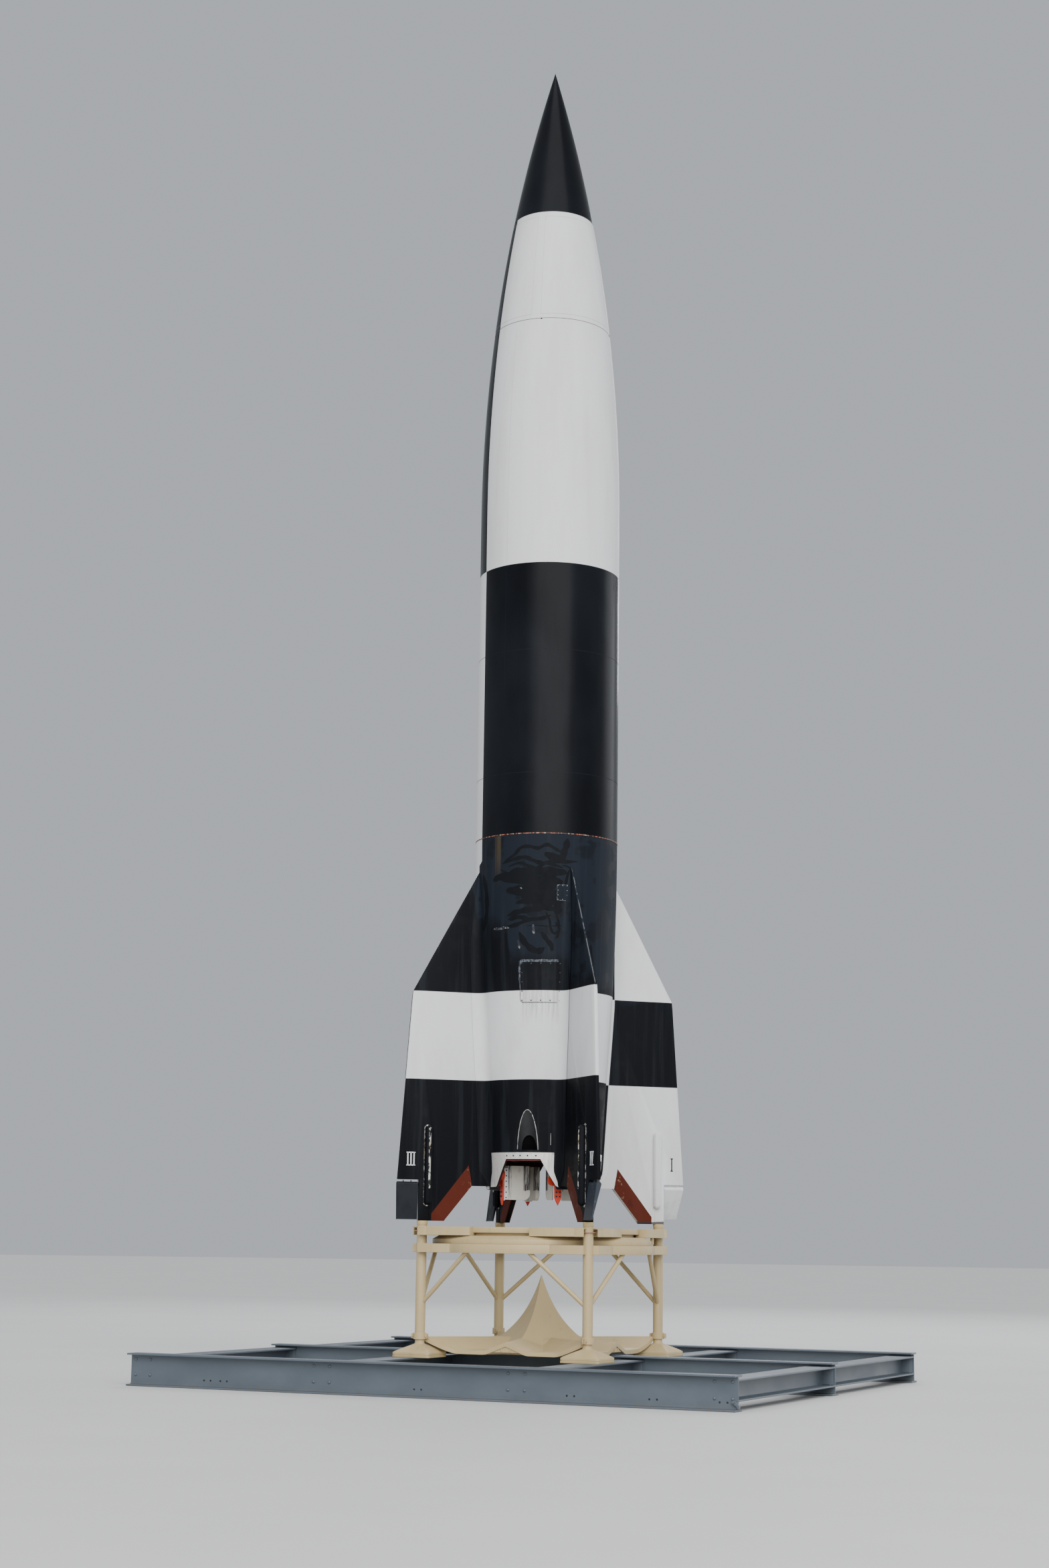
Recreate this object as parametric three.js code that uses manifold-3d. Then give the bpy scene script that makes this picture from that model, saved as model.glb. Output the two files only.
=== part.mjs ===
// A single-stage liquid-fuel rocket on its launch table, which stands on a grid of steel beams.
// Millimetres, +Z up. The origin is on the ground on the rocket's axis, X runs along the long
// beams, and the fins stand on the diagonals: fin 1 towards +X +Y, then on anticlockwise.
import * as THREE from 'three';
import { mergeVertices } from 'three/addons/utils/BufferGeometryUtils.js';
import Module from 'manifold-3d';

const wasm = await Module();
wasm.setup();

// Driving dimensions of the rocket, with heights above the fins' feet
const rocketLength = 14030;
const bodyRadius = 825.5;
const ogiveLength = 5750;
const noseSeam = 12000;
const controlSeam = 10560;
const tailSeam = 4340;
const skirtBottom = 360;
const finTip = { radius: 1735, height: 450 };
const finShoulder = { radius: 1590, height: 2560 };
const finTop = 4020;
const footRadius = 1429;

// Driving dimensions of the launch table and the beam grid, with heights above the ground
const feetHeight = 1780;
const legSpacingHalf = footRadius / Math.SQRT2;
const legRadius = 56;
const collar = { bottom: 490, top: 560, radius: 72 };
const brace = { low: 865, seat: [380, 1157], radius: 25 };
const band = { bottom: 1435, top: 1533, inner: 1170, outer: 1280, face: 1130, start: 600, end: 1005 };
const armPlate = { bottom: 1623, top: 1718, face: 1130, start: 360, end: 1005 };
const armEnd = { depth: 110, wall: 14, back: 1040 };
const turntable = { inner: 980, outer: 1240, step: 1040, slope: 1170, lip: 1585, top: 1654.7 };
const topRing = { inner: 960, outer: 1100 };
const mainBeam = { length: 6900, spacing: 3000, depth: 340, width: 200, flange: 18, web: 12 };
const crossBeamTop = 300;
const crossBeam = { width: 300, depth: 210, places: [-3300, -1110, 1110, 3300] };
const pad = { half: 230, edge: 355, neckBase: 440, neckRadius: 52 };
const seat = 0.3;
const round = 32;
const ringRound = 48;
const rodRound = 16;
const corners = [1, 2, 3, 4];

const cream = { color: 0xc8b996, roughness: 0.55, metalness: 0 };
const steelGrey = { color: 0x73828e, roughness: 0.5, metalness: 0.1 };
const black = { color: 0x1a1d24, roughness: 0.35, metalness: 0 };
const white = { color: 0xd0d1d5, roughness: 0.4, metalness: 0 };
const worn = { color: 0x262c36, roughness: 0.6, metalness: 0 };
const bare = { color: 0xb4b6b8, roughness: 0.45, metalness: 0.8 };
const red = { color: 0xc23418, roughness: 0.5, metalness: 0 };
const dark = { color: 0x2a2a2c, roughness: 0.7, metalness: 0.3 };

const object = new THREE.Group();

// Adds one named sub-part, given as a solid in its own place
function addPart(name, solid, finish, turn = 0) {
  const mesh = new THREE.Mesh(toGeometry(solid), new THREE.MeshStandardMaterial(finish));
  mesh.name = name;
  mesh.rotation.z = turn;
  object.add(mesh);
}

// The angle of a fin, post or leg from its number, 1 to 4
function diagonal(number) {
  return (number - 0.5) * Math.PI / 2;
}

// Turns a closed three.js geometry into a solid with its faces outward
function toSolid(geometry) {
  const bareShape = geometry.clone();
  for (const attribute of ['normal', 'uv']) bareShape.deleteAttribute(attribute);
  const merged = mergeVertices(bareShape, 1e-3);
  const position = merged.getAttribute('position');
  const corner = [0, 1, 2].map(() => new THREE.Vector3());
  const triangles = [];
  let volume = 0;
  for (let i = 0; i < merged.index.count; i += 3) {
    const [a, b, c] = [0, 1, 2].map((k) => merged.index.getX(i + k));
    if (a === b || b === c || c === a) continue;
    triangles.push(a, b, c);
    [a, b, c].forEach((index, k) => corner[k].fromBufferAttribute(position, index));
    volume += corner[0].dot(corner[1].cross(corner[2]));
  }
  if (volume < 0) triangles.reverse();
  const vertProperties = new Float32Array(position.array);
  const triVerts = new Uint32Array(triangles);
  return new wasm.Manifold(new wasm.Mesh({ numProp: 3, vertProperties, triVerts }));
}

function toGeometry(solid) {
  const mesh = solid.getMesh();
  const geometry = new THREE.BufferGeometry();
  geometry.setAttribute('position', new THREE.Float32BufferAttribute(mesh.vertProperties, 3));
  geometry.setIndex(Array.from(mesh.triVerts));
  geometry.computeVertexNormals();
  return geometry;
}

function join(...solids) {
  return solids.reduce((sum, solid) => sum.add(solid));
}

function box(xRange, yRange, zRange) {
  const sizes = [xRange, yRange, zRange].map(([low, high]) => high - low);
  const middle = [xRange, yRange, zRange].map(([low, high]) => (low + high) / 2);
  return toSolid(new THREE.BoxGeometry(...sizes).translate(...middle));
}

// A solid of revolution about Z, from pairs of radius and height that close on themselves or on Z
function lathe(profile, segments = round) {
  const points = profile.map(([radius, height]) => new THREE.Vector2(radius, height));
  return toSolid(new THREE.LatheGeometry(points, segments).rotateX(Math.PI / 2));
}

function ring(inner, outer, bottom, top, segments = round) {
  const profile = [[inner, bottom], [outer, bottom], [outer, top], [inner, top], [inner, bottom]];
  return lathe(profile, segments);
}

// A round rod between two points
function rod(from, to, radius, segments = rodRound, endRadius = radius) {
  const start = new THREE.Vector3(...from);
  const along = new THREE.Vector3(...to).sub(start);
  const geometry = new THREE.CylinderGeometry(endRadius, radius, along.length(), segments);
  const up = new THREE.Vector3(0, 1, 0);
  geometry.applyQuaternion(new THREE.Quaternion().setFromUnitVectors(up, along.clone().normalize()));
  geometry.translate(...start.addScaledVector(along, 0.5).toArray());
  return toSolid(geometry);
}

// An outline of pairs pushed along one axis: along 'z' the pairs are x and y, along 'y' they are
// x and z, and along 'x' they are y and z
function prism(outline, axis, low, high) {
  const shape = new THREE.Shape(outline.map(([a, b]) => new THREE.Vector2(a, b)));
  const geometry = new THREE.ExtrudeGeometry(shape, { depth: high - low, bevelEnabled: false });
  if (axis === 'y') geometry.rotateX(Math.PI / 2).translate(0, high, 0);
  if (axis === 'x') geometry.rotateX(Math.PI / 2).rotateZ(Math.PI / 2).translate(low, 0, 0);
  if (axis === 'z') geometry.translate(0, 0, low);
  return toSolid(geometry);
}

// A solid through flat sections with the same number of points, from the first to the last
function loft(sections) {
  const count = sections[0].length;
  const index = [];
  for (let s = 0; s + 1 < sections.length; s += 1) {
    for (let i = 0; i < count; i += 1) {
      const next = (i + 1) % count;
      const [a, b] = [s * count + i, s * count + next];
      index.push(a, b, b + count, a, b + count, a + count);
    }
  }
  const last = (sections.length - 1) * count;
  for (let i = 1; i + 1 < count; i += 1) index.push(0, i + 1, i, last, last + i, last + i + 1);
  const geometry = new THREE.BufferGeometry();
  geometry.setAttribute('position', new THREE.Float32BufferAttribute(sections.flat(2), 3));
  geometry.setIndex(index);
  return toSolid(geometry);
}

// Turns a solid about Z
function turned(solid, angle) {
  return toSolid(toGeometry(solid).rotateZ(angle));
}

// A height above the fins' feet, as a height above the ground
function raised(height) {
  return feetHeight + height;
}

// The rocket's outer radius over its ogive, a circle tangent to the cylinder
function ogiveRadius(height) {
  const sweep = (bodyRadius ** 2 + ogiveLength ** 2) / (2 * bodyRadius);
  const reach = Math.max(0, height - (rocketLength - ogiveLength));
  return Math.sqrt(sweep ** 2 - reach ** 2) + bodyRadius - sweep;
}

function ogiveSolid(from, to, steps, inset = 0) {
  const profile = [[0, raised(from)]];
  for (let i = 0; i <= steps; i += 1) {
    const height = from + (to - from) * i / steps;
    profile.push([Math.max(0, ogiveRadius(height) - inset), raised(height)]);
  }
  if (to < rocketLength) profile.push([0, raised(to)]);
  return lathe(profile);
}

// The tail's outline: height above the feet, then outer radius
const tailOutline = [
  [skirtBottom, 640], [720, 664], [1530, 712], [2010, 748],
  [2500, 779], [3100, 805], [3700, 820], [tailSeam - seat, bodyRadius],
];

function tailEnvelope(offset) {
  const rows = tailOutline.map(([height, radius]) => [radius + offset, raised(height)]);
  const top = raised(tailSeam - seat);
  return lathe([[0, raised(skirtBottom)], ...rows, [0, top]]);
}

// Beams with a wide flange above and below a web
function beamOutline(width, depth, top) {
  const { flange, web } = mainBeam;
  const bottom = top - depth;
  const half = width / 2;
  return [
    [-half, bottom], [half, bottom], [half, bottom + flange], [web / 2, bottom + flange],
    [web / 2, top - flange], [half, top - flange], [half, top], [-half, top],
    [-half, top - flange], [-web / 2, top - flange], [-web / 2, bottom + flange],
    [-half, bottom + flange],
  ];
}

function addBeams() {
  const { length, spacing, depth, width, web } = mainBeam;
  for (const [name, y] of [['front', -spacing], ['middle', 0], ['back', spacing]]) {
    const outline = beamOutline(width, depth, depth).map(([across, height]) => [across + y, height]);
    addPart(`beam_${name}`, prism(outline, 'x', -length / 2, length / 2), steelGrey);
  }
  const end = web / 2 + seat;
  for (const [bay, low] of [['front', -spacing], ['back', 0]]) {
    crossBeam.places.forEach((x, i) => {
      const outline = beamOutline(crossBeam.width, crossBeam.depth, crossBeamTop)
        .map(([across, height]) => [across + x, height]);
      const solid = prism(outline, 'y', low + end, low + spacing - end);
      addPart(`cross_beam_${bay}_${i + 1}`, solid, steelGrey);
    });
  }
}

// A pyramid foot with a short round neck, under the leg at +X on the leg's own turn
function footPad() {
  const { half, edge, neckBase, neckRadius } = pad;
  const square = (side, z) => [[-side, -side, z], [side, -side, z], [side, side, z], [-side, side, z]];
  const base = loft([
    square(half, crossBeamTop + seat),
    square(half, edge),
    square(neckRadius + 8, neckBase),
  ]);
  return join(base, rod([0, 0, neckBase - 10], [0, 0, collar.bottom - seat], neckRadius));
}

// A leg with its clamp collar and the two braces that rise to the ring's underside
function leg() {
  const tube = rod([0, 0, collar.bottom], [0, 0, band.top], legRadius);
  const clamp = rod([0, 0, collar.bottom], [0, 0, collar.top], collar.radius);
  const lug = { reach: 98, half: 14, inset: 8 };
  const lugs = box(
    [-lug.reach, lug.reach], [-lug.half, lug.half], [collar.bottom + lug.inset, collar.top - lug.inset],
  );
  const braces = [brace.seat, [...brace.seat].reverse()].map(([x, y]) => {
    const end = [x - legSpacingHalf, y - legSpacingHalf, band.bottom + brace.radius];
    return rod([0, 0, brace.low], end, brace.radius, 8);
  });
  const above = box([-900, 900], [-900, 900], [band.bottom - seat, band.top]);
  return join(tube, clamp, lugs, join(...braces).subtract(above));
}

function addLegs() {
  const legSolid = leg();
  const padSolid = footPad();
  const at = new THREE.Matrix4().makeTranslation(legSpacingHalf, legSpacingHalf, 0);
  for (const number of corners) {
    const quarter = (number - 1) * Math.PI / 2;
    addPart(`foot_pad_${number}`, toSolid(toGeometry(padSolid).applyMatrix4(at)), cream, quarter);
    addPart(`leg_${number}`, toSolid(toGeometry(legSolid).applyMatrix4(at)), cream, quarter);
  }
}

// Four copies of a corner piece, one on each diagonal
function onEachCorner(solid) {
  return join(...corners.map((number) => turned(solid, (number - 1) * Math.PI / 2)));
}

function legHoles(radius, bottom, top) {
  const place = [legSpacingHalf, legSpacingHalf];
  return onEachCorner(rod([...place, bottom], [...place, top], radius));
}

// The fixed ring that ties the legs, with a bracket on either side of each leg
function tableRing() {
  const { bottom, top, inner, outer, face, start, end } = band;
  const bracket = prism([
    [start, face], [start, 960], [780, 780], [960, start], [face, start],
    [face, end], [end, end], [end, face],
  ], 'z', bottom, top);
  const hollow = rod([0, 0, bottom - 1], [0, 0, top + 1], inner, ringRound);
  const brackets = onEachCorner(bracket).subtract(hollow);
  return join(ring(inner, outer, bottom, top, ringRound), brackets)
    .subtract(legHoles(legRadius + seat, bottom - 1, top + 1));
}

function turntableRing() {
  const { inner, outer, step, slope, lip, top } = turntable;
  const bottom = band.top + seat;
  const shelf = armPlate.bottom - seat;
  const profile = [
    [inner, bottom], [outer, bottom], [outer, lip], [slope, shelf],
    [step, shelf], [step, top], [inner, top], [inner, bottom],
  ];
  return lathe(profile, ringRound).subtract(legHoles(legRadius + 6, bottom - 1, top + 1));
}

// The upper ring, with two arms on either side of each support post, folded from plate and open
// below at the ends beside the post
function topFrame() {
  const { bottom, top, face, start, end } = armPlate;
  const { depth, wall, back } = armEnd;
  const arms = prism([
    [start, face], [start, 1000], [770, 770], [1000, start], [face, start],
    [face, end], [end, end], [end, face],
  ], 'z', bottom, top);
  const [along, across, inside] = [[end - depth, end + 1], [back, face - wall], [bottom - 1, top - wall]];
  const corner = arms.subtract(box(along, across, inside)).subtract(box(across, along, inside));
  const upper = ring(topRing.inner, topRing.outer, turntable.top + seat, top, ringRound);
  return join(upper, onEachCorner(corner)).subtract(legHoles(legRadius + seat, bottom - 1, top + 1));
}

function supportPost() {
  const tube = rod([0, 0, band.top + seat], [0, 0, armPlate.top], legRadius);
  const cup = rod([0, 0, armPlate.top], [0, 0, feetHeight - seat], legRadius, rodRound, 61);
  return join(tube, cup);
}

// The height of the flame deflector's plates over one point: a concave pyramid with its crests
// towards the middles of the sides, ridges out to the legs, and chutes between them
function deflectorHeight(x, y) {
  const crest = Math.max(x, y);
  const fromCrest = Math.min(x, y);
  const fromRidge = Math.abs(x - y) / Math.SQRT2;
  const pyramid = 582400 / (x + y + 445.6) - 100;
  const ridge = 520 - 0.607 * fromRidge;
  const gable = 548 - 0.071 * crest - 0.388 * fromCrest;
  return Math.max(pyramid, ridge, gable, 387);
}

function deflector() {
  const rim = 930;
  const rimEnd = Math.atan2(620, rim);
  const cornerReach = 975 * Math.SQRT2;
  const rimBottom = mainBeam.depth + seat;
  const half = [0, 0.13, 0.2576, 0.42, rimEnd, Math.PI / 4];
  const octants = [...half, ...half.slice(1, -1).reverse().map((angle) => Math.PI / 2 - angle)];
  const angles = corners.flatMap((number) => octants.map((angle) => angle + (number - 1) * Math.PI / 2));
  const edge = (angle) => {
    const local = angle % (Math.PI / 2);
    const folded = Math.min(local, Math.PI / 2 - local);
    if (folded <= rimEnd + 1e-9) return rim / Math.cos(folded);
    return THREE.MathUtils.mapLinear(folded, rimEnd, Math.PI / 4, rim / Math.cos(rimEnd), cornerReach);
  };
  const fractions = [0.012, 0.05, 0.13, 0.24, 0.37, 0.52, 0.74, 1];
  const topRow = (fraction) => angles.map((angle) => {
    const reach = edge(angle) * fraction;
    const [x, y] = [Math.cos(angle) * reach, Math.sin(angle) * reach];
    return [x, y, deflectorHeight(Math.abs(x), Math.abs(y))];
  });
  const flatRow = (fraction) => topRow(fraction).map(([x, y]) => [x, y, rimBottom]);
  const rimRow = topRow(1).map(([x, y, z]) => [x, y, Math.max(rimBottom, z - 45)]);
  const rows = [...fractions].reverse().map((fraction) => topRow(fraction));
  const solid = loft([flatRow(0.05), flatRow(0.72), rimRow, ...rows]);
  return solid.subtract(legHoles(collar.radius + seat, collar.bottom - 20, collar.top + 20));
}

function addTable() {
  addPart('table_ring', tableRing(), cream);
  addPart('turntable', turntableRing(), cream);
  addPart('top_frame', topFrame(), cream);
  const post = supportPost();
  const at = new THREE.Matrix4().makeTranslation(legSpacingHalf, legSpacingHalf, 0);
  for (const number of corners) {
    const solid = toSolid(toGeometry(post).applyMatrix4(at));
    addPart(`support_post_${number}`, solid, cream, (number - 1) * Math.PI / 2);
  }
  addPart('deflector', deflector(), cream);
}

// The nose, the control section with its four doors, and the two shells of the mid-section
const door = {
  middle: THREE.MathUtils.degToRad(53), halfAngle: THREE.MathUtils.degToRad(40), bottom: 10620, top: 11930, depth: 12,
};

// The wedge of one door, grown by a gap and hollow up to the back of the door
function doorSpace(gap) {
  const reach = 1000;
  const grown = door.halfAngle + gap / 600;
  const edge = [Math.cos(grown) * reach, Math.sin(grown) * reach];
  const outline = [[0, 0], [edge[0], -edge[1]], [reach * 1.2, 0], edge];
  const wedge = prism(outline, 'z', raised(door.bottom - gap), raised(door.top + gap));
  return turned(wedge, door.middle).subtract(ogiveSolid(controlSeam, noseSeam - seat, 4, door.depth + gap));
}

function addForebody() {
  addPart('nose_cone', ogiveSolid(noseSeam, rocketLength, 8), black);
  const core = ogiveSolid(controlSeam, noseSeam - seat, 4);
  addPart('control_section', core.subtract(onEachCorner(doorSpace(seat))), white);
  const panel = core.intersect(doorSpace(0));
  for (const number of corners) {
    addPart(`control_door_${number}`, panel, white, (number - 1) * Math.PI / 2);
  }
  const mid = lathe([
    [0, raised(tailSeam)], [bodyRadius, raised(tailSeam)],
    ...[8280, 8850, 9420, 9990, controlSeam - seat].map((height) => [ogiveRadius(height), raised(height)]),
    [0, raised(controlSeam - seat)],
  ]);
  const side = box([seat / 2, 1000], [-1000, 1000], [raised(0), raised(rocketLength)]);
  const other = box([-1000, -seat / 2], [-1000, 1000], [raised(0), raised(rocketLength)]);
  addPart('mid_shell_right', mid.intersect(side), white);
  addPart('mid_shell_left', mid.intersect(other), black);
}

// The tail: a hollow skirt around the nozzle, with a window in two opposite sides
const skirt = { wall: 30, ceiling: 1150, engineTop: 1950, engineRadius: 420 };
const opening = { sillHalf: 370, headHalf: 205, head: 690, shift: 45 };
const frame = { head: 763, topHalf: 395, bottomHalf: 415, thickness: 6 };
const vaneShaft = { height: 520, radius: 20, outer: 705 };
const rudderShaft = { height: 400, radius: 15, inner: 1400 };

function windowOpening(grow = 0) {
  const { sillHalf, headHalf, head, shift } = opening;
  const outline = [
    [shift - sillHalf - grow, raised(300)], [shift + sillHalf + grow, raised(300)],
    [shift + sillHalf - 20 + grow, raised(400)], [shift + headHalf + grow, raised(head) + grow],
    [shift - headHalf - grow, raised(head) + grow], [shift - sillHalf + 20 - grow, raised(400)],
  ];
  return prism(outline, 'y', -900, -300);
}

function bothSides(solid) {
  return join(solid, turned(solid, Math.PI));
}

function shaftBores(shaft, from, to) {
  const loose = (shaft.radius + seat) / Math.cos(Math.PI / rodRound);
  return rod([from, 0, raised(shaft.height)], [to, 0, raised(shaft.height)], loose);
}

// The arched recess around the turbine's exhaust, left of the window
const arch = { half: 118, bottom: 800, straightTop: 1110, floor: 655, angle: THREE.MathUtils.degToRad(9.5) };

function exhaustArch() {
  const { half, bottom, straightTop, floor, angle } = arch;
  const outline = [[-half, raised(bottom)], [half, raised(bottom)]];
  for (let i = 0; i <= 8; i += 1) {
    const sweep = Math.PI * i / 8;
    outline.push([half * Math.cos(sweep), raised(straightTop) + half * Math.sin(sweep)]);
  }
  return turned(prism(outline, 'y', -900, -floor), angle);
}

function tailBody() {
  const { wall, ceiling, engineTop, engineRadius } = skirt;
  const inside = [
    [0, raised(engineTop)], [engineRadius, raised(engineTop)], [engineRadius, raised(ceiling)],
    [680 - wall, raised(ceiling)], [636 - wall, raised(skirtBottom - 1)], [0, raised(skirtBottom - 1)],
  ];
  const bores = corners.map((number) => turned(shaftBores(vaneShaft, 560, 760), diagonal(number)));
  return tailEnvelope(0)
    .subtract(lathe(inside))
    .subtract(bothSides(windowOpening()))
    .subtract(exhaustArch())
    .subtract(join(...bores));
}

function windowFrame() {
  const { head, topHalf, bottomHalf, thickness } = frame;
  const sheet = tailEnvelope(seat + thickness).subtract(tailEnvelope(seat));
  const outline = [
    [-bottomHalf, raised(385)], [bottomHalf, raised(385)], [topHalf, raised(head)], [-topHalf, raised(head)],
  ];
  return sheet.intersect(prism(outline, 'y', -900, -300)).subtract(windowOpening());
}

// A screwed hatch cover with round corners, lying on the tail
const hatch = {
  half: 230, bottom: 2430, top: 2880, corner: 40, thickness: 6, angle: THREE.MathUtils.degToRad(21.1),
};

function hatchCover() {
  const { half, bottom, top, corner, thickness, angle } = hatch;
  const sheet = tailEnvelope(seat + thickness).subtract(tailEnvelope(seat));
  const centres = [bottom + corner, top - corner].flatMap((height) => [[-1, height], [1, height]]);
  const rods = centres.map(([side, height]) => {
    const x = side * (half - corner);
    return rod([x, -900, raised(height)], [x, -300, raised(height)], corner, 12);
  });
  const patch = join(
    box([-half, half], [-900, -300], [raised(bottom + corner), raised(top - corner)]),
    box([corner - half, half - corner], [-900, -300], [raised(bottom), raised(top)]),
    ...rods,
  );
  return sheet.intersect(turned(patch, angle));
}

function addTail() {
  addPart('tail_body', tailBody(), worn);
  const frameSheet = windowFrame();
  addPart('window_frame_front', frameSheet, bare);
  addPart('window_frame_back', frameSheet, bare, Math.PI);
  addPart('hatch_cover', hatchCover(), worn);
}

// A fin's horizontal sections, in its own plane: height, outer radius, and half thickness at the
// root, before the edge and at the edge
const finSections = [
  { height: finTop, outer: 790, root: 12, flank: 11, edge: 10 },
  { height: finShoulder.height, outer: finShoulder.radius, root: 46, flank: 34, edge: 16 },
  { height: finShoulder.height - 90, outer: finShoulder.radius + 8, root: 47, flank: 34, edge: 18 },
  { height: finTip.height, outer: finTip.radius, root: 43, flank: 27, edge: 18 },
  { height: 0, outer: finTip.radius, root: 42, flank: 26, edge: 18 },
];
const foot = { inner: 1373, outer: 1484, half: 36 };
const fairing = { place: 1388, side: 65, radius: 47, bottom: 170, top: 1050 };

function fin() {
  const sections = finSections.map(({ height, outer, root, flank, edge }) => {
    const [inner, bevel, z] = [500, outer - 60, raised(height)];
    const side = [[inner, root], [bevel, flank], [outer, edge]];
    return [...side.map(([x, y]) => [x, -y, z]), ...side.reverse().map(([x, y]) => [x, y, z])];
  });
  const underside = prism([
    [400, raised(-60)], [1180, raised(-60)], [1180, raised(8)], [864, raised(392)], [400, raised(392)],
  ], 'y', -200, 200);
  const rudderGap = box([foot.outer, 2000], [-200, 200], [raised(-60), raised(finTip.height)]);
  const blade = loft(sections).subtract(underside).subtract(rudderGap);
  const column = box([foot.inner, foot.outer], [-foot.half, foot.half], [raised(0), raised(finTip.height)]);
  const { place, side, radius, bottom, top } = fairing;
  const fairings = [-side, side].map((offset) => {
    const capsule = new THREE.CapsuleGeometry(radius, top - bottom - 2 * radius, 3, 8).rotateX(Math.PI / 2);
    return toSolid(capsule.translate(place, offset, raised((bottom + top) / 2)));
  });
  return join(blade, column, ...fairings)
    .subtract(tailEnvelope(seat))
    .subtract(shaftBores(rudderShaft, rudderShaft.inner - seat, 1500))
    .subtract(shaftBores(vaneShaft, 400, vaneShaft.outer + seat));
}

// An air rudder on its shaft, below the fin's tip
const rudder = { inner: 1492, bottom: 12, nose: 28, tail: 9 };
const rudderTurn = [29, 10, 0, -12];

function rudderSolid(turnDegrees) {
  const pivot = rudderShaft.height;
  const outline = [[-rudder.tail, rudder.bottom - pivot], [rudder.tail, rudder.bottom - pivot]];
  for (let i = 0; i <= 8; i += 1) {
    const angle = Math.PI * i / 8;
    outline.push([rudder.nose * Math.cos(angle), rudder.nose * Math.sin(angle)]);
  }
  const blade = prism(outline, 'x', rudder.inner, finTip.radius);
  const shaft = rod([rudderShaft.inner, 0, 0], [rudder.inner + 40, 0, 0], rudderShaft.radius);
  const whole = toGeometry(join(blade, shaft));
  whole.rotateX(THREE.MathUtils.degToRad(turnDegrees)).translate(0, 0, raised(pivot));
  return toSolid(whole);
}

// A jet vane holder: a pointed bracket on a shaft through the skirt, with the vane's plate and the
// rounded cheek beside the shaft
const vane = {
  bracket: { inner: 476, outer: 498, half: 41, tip: 185, shoulder: 265, top: 500 },
  plate: { inner: 165, half: 26, bottom: 250, top: 625 },
  cheek: { side: -65, height: 460, radius: 58 },
};

function vaneHolder() {
  const { bracket, plate, cheek } = vane;
  const shaftHeight = raised(vaneShaft.height);
  const shaft = rod([bracket.inner + 10, 0, shaftHeight], [vaneShaft.outer, 0, shaftHeight], vaneShaft.radius);
  const boss = rod([bracket.inner, 0, shaftHeight], [560, 0, shaftHeight], 62);
  const disc = rod(
    [bracket.inner, cheek.side, raised(cheek.height)], [502, cheek.side, raised(cheek.height)], cheek.radius,
  );
  const arrow = prism([
    [-bracket.half, raised(bracket.top)], [-bracket.half, raised(bracket.shoulder)], [0, raised(bracket.tip)],
    [bracket.half, raised(bracket.shoulder)], [bracket.half, raised(bracket.top)],
  ], 'x', bracket.inner, bracket.outer);
  const blade = box(
    [plate.inner, bracket.inner + 4], [-plate.half, plate.half], [raised(plate.bottom), raised(plate.top)],
  );
  return join(shaft, boss, disc, arrow, blade);
}

function addFins() {
  const finSolid = fin();
  const holder = vaneHolder();
  for (const number of corners) {
    const finish = [white, white, black, black][number - 1];
    addPart(`fin_${number}`, finSolid, finish, diagonal(number));
    addPart(`air_rudder_${number}`, rudderSolid(rudderTurn[number - 1]), worn, diagonal(number));
    addPart(`jet_vane_${number}`, holder, red, diagonal(number));
  }
}

// The engine's bell, open below, by outer radius and height from the mouth to the throat
const bellOutline = [[370, 680], [355, 790], [300, 940], [200, 1080], [200, skirt.ceiling - seat]];
const throat = { radius: 120, height: 1090, wall: 16 };

// The bell hangs from the engine, which is one plain block above it
function addEngine() {
  const { ceiling, engineTop, engineRadius } = skirt;
  const inside = bellOutline.slice(0, 3).map(([radius, height]) => [radius - throat.wall, height]).reverse();
  const profile = [...bellOutline, [throat.radius, ceiling - seat], [throat.radius, throat.height], ...inside];
  const bell = lathe([...profile, bellOutline[0]].map(([radius, height]) => [radius, raised(height)]), 24);
  addPart('nozzle', bell, dark);
  const block = rod([0, 0, raised(ceiling)], [0, 0, raised(engineTop - seat)], engineRadius - 5, round);
  addPart('engine_block', block, dark);
}

addBeams();
addLegs();
addTable();
addForebody();
addTail();
addFins();
addEngine();

export default object;
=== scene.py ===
import math
import bmesh
import bpy
import numpy as np
from mathutils import Matrix, Vector


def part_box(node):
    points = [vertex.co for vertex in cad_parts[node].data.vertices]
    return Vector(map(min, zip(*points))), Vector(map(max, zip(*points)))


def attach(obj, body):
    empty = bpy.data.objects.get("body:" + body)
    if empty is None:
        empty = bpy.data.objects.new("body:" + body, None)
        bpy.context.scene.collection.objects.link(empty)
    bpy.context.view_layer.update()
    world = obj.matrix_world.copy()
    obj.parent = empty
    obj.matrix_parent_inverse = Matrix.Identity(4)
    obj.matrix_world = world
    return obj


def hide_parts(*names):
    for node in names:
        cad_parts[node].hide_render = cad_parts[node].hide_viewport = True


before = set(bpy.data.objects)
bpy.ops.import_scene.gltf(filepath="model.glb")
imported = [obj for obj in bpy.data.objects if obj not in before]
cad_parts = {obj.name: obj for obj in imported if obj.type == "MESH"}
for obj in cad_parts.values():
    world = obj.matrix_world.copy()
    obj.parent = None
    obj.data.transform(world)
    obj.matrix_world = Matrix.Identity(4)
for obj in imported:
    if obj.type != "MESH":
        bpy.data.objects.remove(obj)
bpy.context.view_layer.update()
fixedBody = "rocket_on_table"
print("frame loaded:", len(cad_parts), "nodes")

# Everything is in metres. Heights of the rocket are given above its feet, which stand at this height.
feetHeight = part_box("fin_1")[0].z
diagonals = [math.pi / 4 + i * math.pi / 2 for i in range(4)]   # fins, legs and posts 1 to 4
quarterTurns = [i * math.pi / 2 for i in range(4)]


# Shapes: a shape is (points, quads, caps)

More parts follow.
